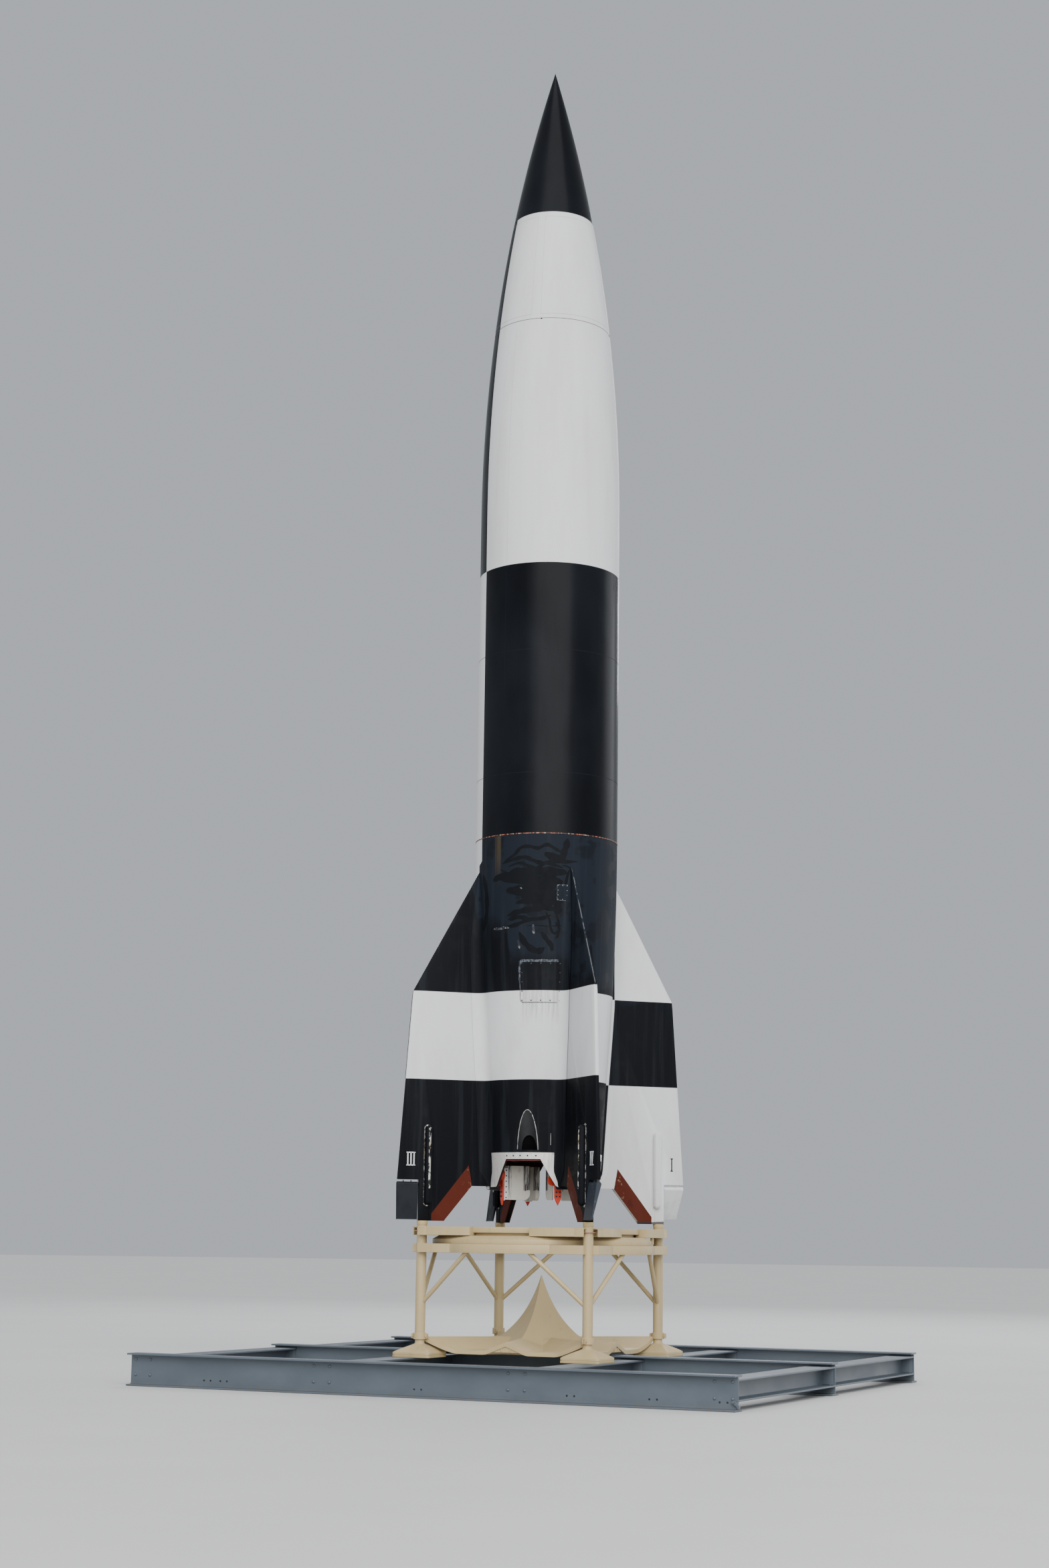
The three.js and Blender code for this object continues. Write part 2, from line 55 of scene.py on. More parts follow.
def gridShape(points, closeU=True, closeV=False, caps=False, sides=False):
    # points is rows x columns x 3; neighbours in both directions are joined by quads. Caps close the
    # first and last row, and sides the first and last column
    rows, columns = points.shape[:2]
    index = np.arange(rows * columns).reshape(rows, columns)
    wide = np.concatenate([index, index[:, :1]], axis=1) if closeU else index
    tall = np.concatenate([wide, wide[:1]], axis=0) if closeV else wide
    quads = np.stack([tall[:-1, :-1], tall[:-1, 1:], tall[1:, 1:], tall[1:, :-1]], axis=-1).reshape(-1, 4)
    ends = [index[0, ::-1].tolist(), index[-1].tolist()] if caps else []
    if sides:
        ends += [index[:, 0].tolist(), index[::-1, -1].tolist()]
    return points.reshape(-1, 3), quads, ends


def band(points, sides=True):
    # rows that run once round the section of an open band
    return gridShape(points, closeU=False, closeV=True, sides=sides)


def polar(radius, angle, height):
    # cylinder coordinates to points
    radius, angle, height = np.broadcast_arrays(radius, angle, height)
    return np.stack([radius * np.cos(angle), radius * np.sin(angle), height], axis=-1)


def lathe(profile, segments=96, closed=False, centre=(0, 0)):
    # a profile of (radius, height) turned round Z through centre
    profile = np.asarray(profile, float)
    angles = np.linspace(0, 2 * math.pi, segments, endpoint=False)
    points = polar(profile[:, None, 0], angles[None], profile[:, None, 1])
    return gridShape(points + np.array([*centre, 0]), closeV=closed)


def softCorners(outline, radius, steps=4):
    # each corner of a closed 2-D outline becomes a quadratic curve that starts radius before it
    outline = np.asarray(outline, float)
    before, after = np.roll(outline, 1, axis=0) - outline, np.roll(outline, -1, axis=0) - outline
    lengths = [np.linalg.norm(side, axis=1, keepdims=True) for side in (before, after)]
    cut = np.minimum(radius, 0.45 * np.minimum(*lengths))
    start, end = outline + before / lengths[0] * cut, outline + after / lengths[1] * cut
    t = np.linspace(0, 1, steps)[None, :, None]
    curve = (1 - t) ** 2 * start[:, None] + 2 * t * (1 - t) * outline[:, None] + t ** 2 * end[:, None]
    return curve.reshape(-1, 2)


def inset(outline, distance):
    # a closed anticlockwise outline moved inwards along its corner normals
    sides = np.roll(outline, -1, axis=0) - outline
    sides = sides / np.maximum(np.linalg.norm(sides, axis=1, keepdims=True), 1e-12)
    normals = np.stack([-sides[:, 1], sides[:, 0]], axis=1)
    mean = normals + np.roll(normals, 1, axis=0)
    scale = np.maximum((mean * mean).sum(axis=1, keepdims=True) / 2, 0.35)
    return outline + mean / scale * distance


def prism(outline, low, high, bevel=0.0, axes="xyz"):
    # an anticlockwise outline pushed from low to high along the third axis, with its end edges cut back
    outline = np.asarray(outline, float)
    if bevel:
        rows = [(inset(outline, bevel), low), (outline, low + bevel), (outline, high - bevel),
                (inset(outline, bevel), high)]
    else:
        rows = [(outline, low), (outline, high)]
    points = np.stack([np.column_stack([row, np.full(len(row), height)]) for row, height in rows])
    order = ["xyz".index(axis) for axis in axes]
    placed = np.empty_like(points)
    placed[..., order] = points
    return gridShape(placed, caps=True)


def block(xRange, yRange, zRange, bevel=0.003):
    # a box with softened edges
    (a, b), (c, d) = xRange, yRange
    corners = [(a, c), (b, c), (b, d), (a, d)]
    return prism(softCorners(corners, bevel, 3) if bevel else corners, *zRange, bevel)


def tube(path, radius, sides=24):
    # circles of one radius, or one for each point, carried along a path
    path = np.asarray(path, float)
    along = np.gradient(path, axis=0)
    along /= np.linalg.norm(along, axis=1, keepdims=True)
    flat = path.max(axis=0) - path.min(axis=0)
    side = np.eye(3)[np.argmin(flat)]
    across = np.cross(along, side)
    across /= np.linalg.norm(across, axis=1, keepdims=True)
    other = np.cross(along, across)
    angles = np.linspace(0, 2 * math.pi, sides, endpoint=False)[None, :, None]
    radii = np.broadcast_to(np.asarray(radius, float).reshape(-1, 1, 1), (len(path), 1, 1))
    circle = radii * (np.cos(angles) * across[:, None] + np.sin(angles) * other[:, None])
    return gridShape(path[:, None] + circle, caps=True)


def spun(shape, angle):
    # a shape turned about Z
    c, s = math.cos(angle), math.sin(angle)
    return shape[0] @ np.array([[c, s, 0], [-s, c, 0], [0, 0, 1]]), shape[1], shape[2]


def shifted(shape, offset):
    # a shape moved by an offset
    return shape[0] + np.asarray(offset, float), shape[1], shape[2]


def scatter(shape, places, normals):
    # copies of a small shape whose +Z points along each normal
    normals = np.asarray(normals, float)
    normals = normals / np.linalg.norm(normals, axis=1, keepdims=True)
    helper = np.where(np.abs(normals[:, 2:3]) > 0.9, [[1.0, 0, 0]], [[0, 0, 1.0]])
    across = np.cross(helper, normals)
    across /= np.linalg.norm(across, axis=1, keepdims=True)
    turn = np.stack([across, np.cross(normals, across), normals], axis=1)
    points = np.einsum("mk,nkj->nmj", shape[0], turn) + np.asarray(places, float)[:, None]
    steps = np.arange(len(points))[:, None, None] * len(shape[0])
    caps = [[i + int(step) for i in cap] for step in steps.ravel() for cap in shape[2]]
    return points.reshape(-1, 3), (shape[1][None] + steps).reshape(-1, 4), caps


def domeHead(radius, height, sides=10):
    # a round rivet or screw head, a quarter circle turned round its axis
    t = np.linspace(0, math.pi / 2, 4)
    rim = [(radius, -0.001)]
    return lathe(rim + [(radius * math.cos(a), height * math.sin(a)) for a in t], sides)


def hexHead(radius, height):
    # a bolt head with six sides and a cut top edge
    profile = [(radius, -0.001), (radius, height * 0.8), (radius * 0.82, height), (0, height)]
    return lathe(profile, 6)


def span(node, axis):
    # where a CAD node starts and ends along one axis
    return [corner["xyz".index(axis)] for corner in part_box(node)]


def holeShadeDisc(radius, lift):
    # a thin disc of painted shade that shows as a drilled hole: it stands in for the shade inside the hole
    return lathe([(0, lift), (radius - 0.001, lift), (radius, 0), (0, -0.001)], 14)


def addPiece(name, shapes, material, stands=(), body=fixedBody, crease=32):
    # one mesh object from several shapes, welded, faces outward, smooth except over the crease angle
    offsets = np.cumsum([0] + [len(shape[0]) for shape in shapes])
    points = np.concatenate([shape[0] for shape in shapes])
    faces = []
    for shape, offset in zip(shapes, offsets):
        faces += (shape[1] + offset).tolist()
        faces += [[i + int(offset) for i in cap] for cap in shape[2]]
    mesh = bpy.data.meshes.new(name)
    mesh.from_pydata(points, [], faces)
    work = bmesh.new()
    work.from_mesh(mesh)
    bmesh.ops.remove_doubles(work, verts=work.verts, dist=2e-6)
    bmesh.ops.dissolve_degenerate(work, edges=work.edges, dist=1e-6)
    bmesh.ops.recalc_face_normals(work, faces=work.faces)
    work.to_mesh(mesh)
    work.free()
    return finishPiece(bpy.data.objects.new(name, mesh), material, stands, body, crease)


def finishPiece(piece, material, stands=(), body=fixedBody, crease=32):
    mesh = piece.data
    mesh.materials.clear()
    mesh.materials.append(materials[material])
    mesh.polygons.foreach_set("use_smooth", np.ones(len(mesh.polygons), bool))
    mesh.set_sharp_from_angle(angle=math.radians(crease))
    if piece.name not in bpy.context.scene.collection.objects:
        bpy.context.scene.collection.objects.link(piece)
    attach(piece, body)
    if stands:
        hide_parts(*stands)
    return piece


def bakedMesh(piece):
    # the piece's mesh with its modifiers applied
    graph = bpy.context.evaluated_depsgraph_get()
    mesh = bpy.data.meshes.new_from_object(piece.evaluated_get(graph))
    piece.modifiers.clear()
    piece.data = mesh
    return mesh


def refinedCopy(name, node, bevel, steps=3):
    # a copy of a CAD node, welded, its flat faces joined and its edges rounded
    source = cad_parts[node]
    piece = bpy.data.objects.new(name, source.data.copy())
    bpy.context.scene.collection.objects.link(piece)
    work = bmesh.new()
    work.from_mesh(piece.data)
    bmesh.ops.remove_doubles(work, verts=work.verts, dist=1e-5)
    bmesh.ops.dissolve_limit(work, angle_limit=math.radians(1.2), verts=work.verts, edges=work.edges)
    work.to_mesh(piece.data)
    work.free()
    rounder = piece.modifiers.new("edges", "BEVEL")
    rounder.width, rounder.segments = bevel, steps
    rounder.limit_method, rounder.angle_limit = "ANGLE", math.radians(38)
    bakedMesh(piece)
    return piece


# Materials: a Field is a number or a vector that varies over the surface, held by a node's socket

class Field:
    # sums, differences and products of fields add Math nodes to their tree
    def __init__(self, tree, socket):
        self.tree, self.socket = tree, socket

    def combine(self, operation, first, second=0.0):
        return newField(self.tree, "ShaderNodeMath", {0: first, 1: second}, operation=operation)

    def __add__(self, other):
        return self.combine("ADD", self, other)

    def __sub__(self, other):
        return self.combine("SUBTRACT", self, other)

    def __rsub__(self, other):
        return self.combine("SUBTRACT", other, self)

    def __mul__(self, other):
        return self.combine("MULTIPLY", self, other)

    def __abs__(self):
        return self.combine("ABSOLUTE", self)

    def least(self, other):
        return self.combine("MINIMUM", self, other)

    def past(self, edge, width=0.002):
        # 0 below the edge and 1 above it, with a soft width
        return softStep(self, edge - width, edge + width)


def addNode(tree, kind, inputs=None, **settings):
    # a node with its settings; a field is linked to an input, and a constant is set on it
    node = tree.nodes.new(kind)
    for name, value in settings.items():
        setattr(node, name, value)
    for key, value in (inputs or {}).items():
        if isinstance(value, Field):
            tree.links.new(value.socket, node.inputs[key])
        elif node.inputs[key].type == "RGBA":
            node.inputs[key].default_value = (*value, 1)
        else:
            node.inputs[key].default_value = value
    return node


def newField(tree, kind, inputs, output=0, **settings):
    return Field(tree, addNode(tree, kind, inputs, **settings).outputs[output])


def softStep(value, low, high):
    inputs = {"Value": value, "From Min": low, "From Max": high}
    return newField(value.tree, "ShaderNodeMapRange", inputs, "Result", interpolation_type="SMOOTHSTEP")


def blendColour(factor, a, b):
    return newField(factor.tree, "ShaderNodeMix", {"Factor": factor, 6: a, 7: b}, 2, data_type="RGBA")


def blendValue(factor, a, b):
    return newField(factor.tree, "ShaderNodeMix", {"Factor": factor, 2: a, 3: b}, data_type="FLOAT")


def noise(position, scale, detail):
    inputs = {"Vector": position, "Scale": scale, "Detail": detail}
    return newField(position.tree, "ShaderNodeTexNoise", inputs)


def coordinates(position):
    node = addNode(position.tree, "ShaderNodeSeparateXYZ", {0: position})
    return [Field(position.tree, socket) for socket in node.outputs]


def axisDistance(position):
    x, y = coordinates(position)[:2]
    flat = newField(position.tree, "ShaderNodeCombineXYZ", {0: x, 1: y})
    return newField(position.tree, "ShaderNodeVectorMath", {0: flat}, "Value", operation="LENGTH")


def newGroup(name, inputs, outputs):
    # a shader node group; an input without a value is a vector. Returns the inputs as fields
    tree = bpy.data.node_groups.new(name, "ShaderNodeTree")
    for key, value in inputs.items():
        kind = "NodeSocketVector" if value is None or isinstance(value, tuple) else "NodeSocketFloat"
        socket = tree.interface.new_socket(key, in_out="INPUT", socket_type=kind)
        if value is not None:
            socket.default_value = value
    for key in outputs:
        tree.interface.new_socket(key, in_out="OUTPUT", socket_type="NodeSocketFloat")
    source = tree.nodes.new("NodeGroupInput")
    return tree, {key: Field(tree, source.outputs[key]) for key in inputs}


def closeGroup(tree, **results):
    target = tree.nodes.new("NodeGroupOutput")
    for key, field in results.items():
        tree.links.new(field.socket, target.inputs[key])
    return tree


def patchGroup():
    # worn patches: noise stretched by a vector, cut at a level with a soft edge
    tree, given = newGroup("wornPatches", {"Position": None, "Stretch": (1, 1, 1), "Scale": 4.0, "Level": 0.6,
                                           "Softness": 0.03, "Detail": 6.0, "Seed": 0.0}, ["Mask"])
    position = newField(tree, "ShaderNodeVectorMath", {0: given["Position"], 1: given["Stretch"]},
                        operation="MULTIPLY")
    cloud = newField(tree, "ShaderNodeTexNoise", {
        "Vector": position, "W": given["Seed"], "Scale": given["Scale"], "Detail": given["Detail"],
        "Roughness": 0.62}, noise_dimensions="4D")
    level, softness = given["Level"], given["Softness"]
    return closeGroup(tree, Mask=softStep(cloud, level - softness, level + softness))


def halvesGroup():
    # the paint scheme: 1 where the paint is dark. The side is 1 on the half that faces fin 4 and 0 on
    # the other, the band is 1 between two heights, and the paint is dark where side and band differ
    inputs = {"Position": None, "Low": 0.0, "High": 99.0, "Shift": 0.0}
    tree, given = newGroup("paintHalves", inputs, ["Dark"])
    x, y, z = coordinates(given["Position"])
    above = z - feetHeight
    # above the fins the line between the halves is turned off the diagonal
    turn = above.past(scheme["turnAbove"], 0.03) * math.tan(scheme["turn"])
    side = (x - y + (x + y) * turn + given["Shift"]).past(0.0, 0.003)
    band = (above - given["Low"]).past(0.0) - (above - given["High"]).past(0.0)
    return closeGroup(tree, Dark=abs(side - band))


def finPlaneGroup():
    # masks in a fin's own plane, from the distance to the axis and the height above the feet
    tree, given = newGroup("finPlane", {"Position": None}, ["Primer", "Flaking", "Edge", "Inside", "Height"])
    x, y, z = coordinates(given["Position"])
    radius, height = axisDistance(given["Position"]), z - feetHeight
    offPlane = abs(x + y).least(abs(x - y))

    def beyond(first, second, width=0.0015):
        # 1 to the right of the line from first to second
        dx, dz = second[0] - first[0], second[1] - first[1]
        length = math.hypot(dx, dz)
        return ((radius - first[0]) * (dz / length) - (height - first[1]) * (dx / length)).past(0.0, width)

    top, inner, outer = primer["top"], primer["inner"], primer["outer"]
    red = beyond(inner, top) * (1.0 - beyond(outer, top)) * (1.0 - radius.past(outer[0], 0.0015))
    red = red * offPlane.past(0.035, 0.004)
    edge = beyond(leadingEdge["low"], leadingEdge["high"], 0.005) * radius.past(0.84, 0.02)
    wall = height * skirtWall["taper"] - radius + skirtWall["start"]
    return closeGroup(tree, Primer=red, Flaking=red * (1.0 - radius.past(0.96, 0.05)),
                      Edge=edge * (1.0 - offPlane.past(0.0065, 0.002)),
                      Inside=wall.past(0.0) * (1.0 - height.past(skirtWall["top"])), Height=height)


fins = {"rootHeights": [0.0, 2.47, 2.56, 4.02], "rootHalf": [0.042, 0.047, 0.046, 0.012], "fillet": 0.13,
        "filletSpan": (0.40, 3.90), "fairingPlace": 1.388, "fairingLow": 0.17, "fairingHigh": 1.05,
        "flangeHalf": 0.049, "fairingHalf": 0.034, "fairingTop": 0.112, "finFace": 0.033}
scheme = {"low": 1.57, "high": 2.56, "noseLow": 7.527, "turnAbove": 4.06, "turn": math.radians(5.3)}
primer = {"top": (0.905, 0.619), "inner": (0.864, 0.398), "outer": (1.334, 0.08)}
leadingEdge = {"low": (1.583, 2.557), "high": (0.783, 4.017)}
skirtWall = {"taper": 0.0667, "start": 0.608, "top": 1.18}
groups = {"patch": patchGroup(), "halves": halvesGroup(), "fin": finPlaneGroup()}


def useGroup(position, key, **inputs):
    # a shared group on the piece's own coordinates; its outputs as fields by name
    node = addNode(position.tree, "ShaderNodeGroup", node_tree=groups[key])
    position.tree.links.new(position.socket, node.inputs["Position"])
    for name, value in inputs.items():
        node.inputs[name].default_value = value
    return {socket.name: Field(position.tree, socket) for socket in node.outputs}


def patches(position, stretch, scale, level, softness, detail, seed=0.0):
    return useGroup(position, "patch", Stretch=stretch, Scale=scale, Level=level, Softness=softness,
                    Detail=detail, Seed=seed)["Mask"]


def newMaterial(name, **constants):
    # a Principled material and its object coordinates
    material = bpy.data.materials.new(name)
    material.use_nodes = True
    tree = material.node_tree
    for key, value in constants.items():
        tree.nodes["Principled BSDF"].inputs[key.replace("_", " ")].default_value = value
    return material, newField(tree, "ShaderNodeTexCoord", {}, "Object")


def paintOver(material, colour, roughness, height, strength, distance):
    # the finished colour, roughness and relief go into the shader
    tree = material.node_tree
    relief = newField(tree, "ShaderNodeBump", {"Height": height, "Strength": strength, "Distance": distance})
    for key, field in (("Base Color", colour), ("Roughness", roughness), ("Normal", relief)):
        tree.links.new(field.socket, tree.nodes["Principled BSDF"].inputs[key])
    return material


paint = {
    "white": (0.66, 0.67, 0.685), "whiteWarm": (0.53, 0.52, 0.50), "gloss": (0.0040, 0.0046, 0.0062),
    "worn": (0.0100, 0.0135, 0.0205), "wornDeep": (0.0042, 0.0050, 0.0070), "chalk": (0.30, 0.32, 0.33),
    "primer": (0.088, 0.0185, 0.011), "rust": (0.22, 0.075, 0.02), "putty": (0.45, 0.36, 0.24),
}
even = (1, 1, 1)


def rocketPaint(name, low=None):
    # gloss paint with faint soiling that runs down, dark all over or in halves from a height
    material, position = newMaterial(name, Specular_IOR_Level=0.075)
    soil = patches(position, (1, 1, 0.12), 3.2, 0.56, 0.14, 5.0)
    cloud = patches(position, (1, 1, 0.5), 1.1, 0.5, 0.25, 3.0, 3.0)
    colour = blendColour(cloud, paint["gloss"], (0.009, 0.0105, 0.014))
    roughness = blendValue(soil, 0.24, 0.36)
    if low is not None:
        dark = useGroup(position, "halves", Low=low)["Dark"]
        white = blendColour(soil * 0.45, paint["white"], paint["whiteWarm"])
        colour, roughness = blendColour(dark, white, colour), blendValue(dark, 0.42, roughness)
    height = noise(position, 1.6, 1.5) + noise(position, 320.0, 2.0) * 0.004
    return paintOver(material, colour, roughness, height, 0.35, 0.02)


def tailPaint(name, shift=0.0, edgeWearAndHighlight=1.0, wear=1.0, stain=0.0, foot=False):
    # the tail's paint: fresh black low down, faded bluish black above it, chalky scratches, primer along
    # each fin's slanted edge, a lighter strip on the leading edges that is partly paint chipped to bare metal
    # and partly a painted highlight on their rounded edge, a rust stain with drips and a worn foot
    material, position = newMaterial(name, Specular_IOR_Level=0.09)
    dark = useGroup(position, "halves", Low=scheme["low"], High=scheme["high"], Shift=shift)["Dark"]
    fin = useGroup(position, "fin")
    height, (x, y) = fin["Height"], coordinates(position)[:2]
    cloud = noise(position, 2.4, 5.0)
    lower = x.past(-0.10, 0.03) * 0.32 + x.past(0.60, 0.03) * 0.30 - (0.55 - x.past(-0.60, 0.05) * 0.55)
    faded = (height + (cloud * 0.5 + lower)).past(3.52, 0.10)
    blots = patches(position, (0.8, 0.8, 1.1), 2.6, 0.56, 0.03, 3.0, 1.0)
    chalk = patches(position, (1, 1, 0.3), 10.0, 0.715, 0.02, 8.0, 2.0)
    streak = patches(position, (1, 1, 0.035), 9.0, 0.56, 0.08, 4.0, 4.0)
    soil = patches(position, (1, 1, 0.3), 5.0, 0.56, 0.12, 6.0, 5.0)
    specks = patches(position, (1, 1, 0.7), 55.0, 0.77, 0.01, 3.0, 6.0)
    blotch = patches(position, even, 6.0, 0.66, 0.02, 8.0, 6.0)
    flakes = patches(position, even, 26.0, 0.60, 0.02, 8.0, 10.0)
    chips = patches(position, (1, 1, 0.35), 14.0, 0.47, 0.02, 8.0, 7.0)
    old = blendColour(blots * 0.55, paint["worn"], paint["wornDeep"])
    black = blendColour(faded, paint["wornDeep"], old)
    black = blendColour(streak * 0.22, black, (0.03, 0.034, 0.042))
    black = blendColour(chalk * faded * (0.3 * wear), black, paint["chalk"])
    white = blendColour(soil * 0.3, paint["white"], paint["whiteWarm"])
    if stain:
        front = 1.0 - y.past(0.0)
        run = (1.0 - abs(x + 0.25).past(0.040, 0.016)) * height.past(3.95, 0.22) * front
        run = run * (patches(position, (1, 1, 0.02), 42.0, 0.47, 0.14, 2.0, 9.0) * 0.7 + 0.3)
        black = blendColour(run * stain, black, (0.070, 0.053, 0.032))
        below = height.past(2.26, 0.12) * front * (1.0 - abs(x - 0.275).past(0.20, 0.02))
        drips = patches(position, (1, 1, 0.03), 30.0, 0.52, 0.10, 3.0, 5.0)
        white = blendColour(below * drips * 0.5, white, (0.33, 0.32, 0.30))
    white = blendColour(specks * 0.5, white, (0.25, 0.24, 0.22))
    red = blendColour(blotch * 0.5, paint["primer"], (0.05, 0.012, 0.008))
    red = blendColour(flakes * fin["Flaking"] * (1.0 if foot else 0.2), red, paint["putty"])
    colour = blendColour(fin["Primer"], blendColour(dark, white, black), red)
    # leading edges: lighter chips, which are also a painted highlight along the rounded edge
    colour = blendColour(fin["Edge"] * chips * edgeWearAndHighlight, colour, (0.105, 0.112, 0.122))
    if foot:
        smudge = 0.032 - (height + (cloud - 0.5) * 0.05)
        colour = blendColour(smudge.past(0.0, 0.006) * 0.85, colour, (0.03, 0.028, 0.03))
    inside = blendColour(cloud, (0.05, 0.016, 0.011), (0.02, 0.010, 0.009))
    colour = blendColour(fin["Inside"], colour, inside)
    roughness = blendValue(dark, 0.45, blendValue(blots, 0.62, 0.52))
    return paintOver(material, colour, roughness, noise(position, 60.0, 6.0), 0.10, 0.003)


def flakedPaint(name, base, amount, bare=(0.50, 0.50, 0.49), under=paint["putty"], ridge=False):
    # paint flaked off down to putty and bare metal, on a fairing only along its raised middle
    material, position = newMaterial(name, Specular_IOR_Level=0.3)
    flakes = patches(position, (1.3, 1.3, 0.6), 27.0, 0.60 - 0.10 * amount, 0.010, 9.0, 8.0)
    core = patches(position, (1.3, 1.3, 0.6), 30.0, 0.62 - 0.06 * amount, 0.012, 9.0, 9.0)
    if ridge:
        middle = 1.0 - abs(axisDistance(position) - (fins["fairingPlace"] + 0.018)).past(0.026, 0.009)
        flakes, core = flakes * middle, core * middle
    colour = blendColour(core * 0.8, blendColour(flakes, base, bare), under)
    return paintOver(material, colour, blendValue(flakes, 0.4, 0.6), flakes, 0.5, -0.0015)


def creamPaint(name):
    # thick cream paint, dirtier in streaks, with small chips that have rusted
    material, position = newMaterial(name)
    cloud = patches(position, (1, 1, 0.6), 2.2, 0.5, 0.2, 6.0, 1.0)
    drips = patches(position, (1, 1, 0.06), 14.0, 0.62, 0.06, 4.0, 2.0)
    chips = patches(position, even, 38.0, 0.745, 0.012, 4.0, 3.0)
    colour = blendColour(cloud * 0.6, (0.49, 0.385, 0.205), (0.41, 0.315, 0.165))
    colour = blendColour(drips * 0.3, colour, (0.33, 0.25, 0.15))
    colour = blendColour(chips * 0.8, colour, (0.13, 0.06, 0.025))
    relief = noise(position, 90.0, 4.0) - chips
    return paintOver(material, colour, blendValue(cloud, 0.42, 0.58), relief, 0.16, 0.002)


def beamPaint(name):
    # blue-grey paint on rolled steel, splashed near the ground, with spots of rust
    material, position = newMaterial(name)
    cloud = patches(position, (0.5, 0.5, 1), 2.4, 0.5, 0.2, 6.0, 1.0)
    specks = patches(position, even, 22.0, 0.54, 0.06, 6.0, 2.0)
    spots = patches(position, even, 30.0, 0.75, 0.012, 4.0, 3.0)
    splash = 1.0 - coordinates(position)[2].past(0.03, 0.05)
    colour = blendColour(cloud * 0.7, (0.070, 0.088, 0.108), (0.098, 0.120, 0.143))
    colour = blendColour(splash * specks * 0.8, colour, (0.11, 0.092, 0.07))
    colour = blendColour(spots * 0.7, colour, paint["rust"])
    return paintOver(material, colour, blendValue(cloud, 0.38, 0.55), noise(position, 70.0, 5.0), 0.14, 0.002)


def bareMetal(name, base, dirt, metallic, roughness):
    # bare sheet with long scratches and dull stains
    material, position = newMaterial(name, Metallic=metallic)
    stains = patches(position, (1, 1, 0.4), 9.0, 0.52, 0.12, 7.0, 1.0)
    lines = patches(position, (1, 1, 0.05), 60.0, 0.6, 0.08, 3.0, 2.0)
    dark = tuple(0.35 * value for value in base)
    colour = blendColour(lines * 0.3, blendColour(stains * dirt, base, dark), dark)
    return paintOver(material, colour, blendValue(stains, roughness, roughness + 0.22), lines, 0.2, 0.001)


def vanePaint(name):
    # pale grey plate, scratched black in upright streaks beside its outer strip and near the axis
    material, position = newMaterial(name)
    stains = patches(position, (1, 1, 0.5), 12.0, 0.64, 0.03, 7.0, 1.0)
    streaks = patches(position, (1, 1, 0.06), 78.0, 0.50, 0.03, 7.0, 2.0)
    spots = patches(position, (1, 1, 0.6), 30.0, 0.72, 0.012, 4.0, 7.0)
    radius, wave = axisDistance(position), noise(position, 14.0, 2.0) * 0.05
    raised = (coordinates(position)[2] + wave).past(0.385 + feetHeight, 0.006)
    nearAxis = (1.0 - radius.past(0.243, 0.003)) * raised
    nearStrip = radius.past(0.385, 0.010) * 0.9
    colour = blendColour(stains * 0.4, (0.53, 0.51, 0.465), (0.26, 0.24, 0.21))
    colour = blendColour(nearAxis * 0.6, colour, (0.15, 0.145, 0.14))
    colour = blendColour(streaks * nearAxis, colour, (0.030, 0.030, 0.034))
    colour = blendColour(streaks * nearStrip, colour, (0.035, 0.045, 0.07))
    colour = blendColour(spots * 0.8, colour, (0.04, 0.045, 0.06))
    return paintOver(material, colour, blendValue(streaks, 0.42, 0.6), streaks, 0.25, 0.001)


def plainPaint(name, base, roughness, dirt, shine=0.5, metallic=0.0):
    # one paint with soft dirt and a fine grain
    material, position = newMaterial(name, Metallic=metallic, Specular_IOR_Level=shine)
    stains = patches(position, (1, 1, 0.5), 8.0, 0.55, 0.14, 6.0, 1.0)
    colour = blendColour(stains * dirt, base, tuple(0.3 * value for value in base))
    roughness = blendValue(stains, roughness, roughness + 0.2)
    return paintOver(material, colour, roughness, noise(position, 80.0, 4.0), 0.15, 0.0015)


materials = {
    "nose": rocketPaint("nosePaint"),
    "body": rocketPaint("bodyPaint", scheme["noseLow"]),
    "tail": tailPaint("tailPaint", edgeWearAndHighlight=0.0, stain=0.75),
    "fin": tailPaint("finPaint"),
    "finTwo": tailPaint("finTwoPaint", 50.0),
    "finOne": tailPaint("finOnePaint", -50.0, edgeWearAndHighlight=0.0, wear=0.4, foot=True),
    "rootOne": tailPaint("rootOnePaint", -0.08, edgeWearAndHighlight=0.0),
    "cream": creamPaint("creamPaint"),
    "beam": beamPaint("beamPaint"),
    "aluminium": bareMetal("bareAluminium", (0.78, 0.77, 0.75), 0.35, 0.45, 0.38),
    "vanePlate": vanePaint("vanePlatePaint"),
    "fairingDark": flakedPaint("fairingDark", paint["wornDeep"], 0.9, ridge=True),
    "fairingWhite": flakedPaint("fairingWhite", paint["white"], 0.05, ridge=True),
}
flakedPaints = {   # base, how much is gone, bare colour, colour under the paint
    "rudderWorn": ((0.025, 0.032, 0.043), 0.0, (0.060, 0.072, 0.092), (0.05, 0.048, 0.05)),
    "jointLine": ((0.045, 0.016, 0.012), 0.8, (0.34, 0.10, 0.055), (0.40, 0.34, 0.28)),
    "lip": ((0.36, 0.355, 0.34), 0.1, (0.035, 0.036, 0.038), (0.16, 0.155, 0.15)),
    "chalkLine": ((0.030, 0.033, 0.038), 1.0, (0.15, 0.16, 0.18), (0.09, 0.10, 0.11)),
    "scuffed": ((0.019, 0.024, 0.034), 1.1, (0.085, 0.10, 0.125), (0.030, 0.035, 0.045)),
    "chipped": ((0.014, 0.0175, 0.0245), 0.7, (0.16, 0.16, 0.165), (0.09, 0.085, 0.08)),
}
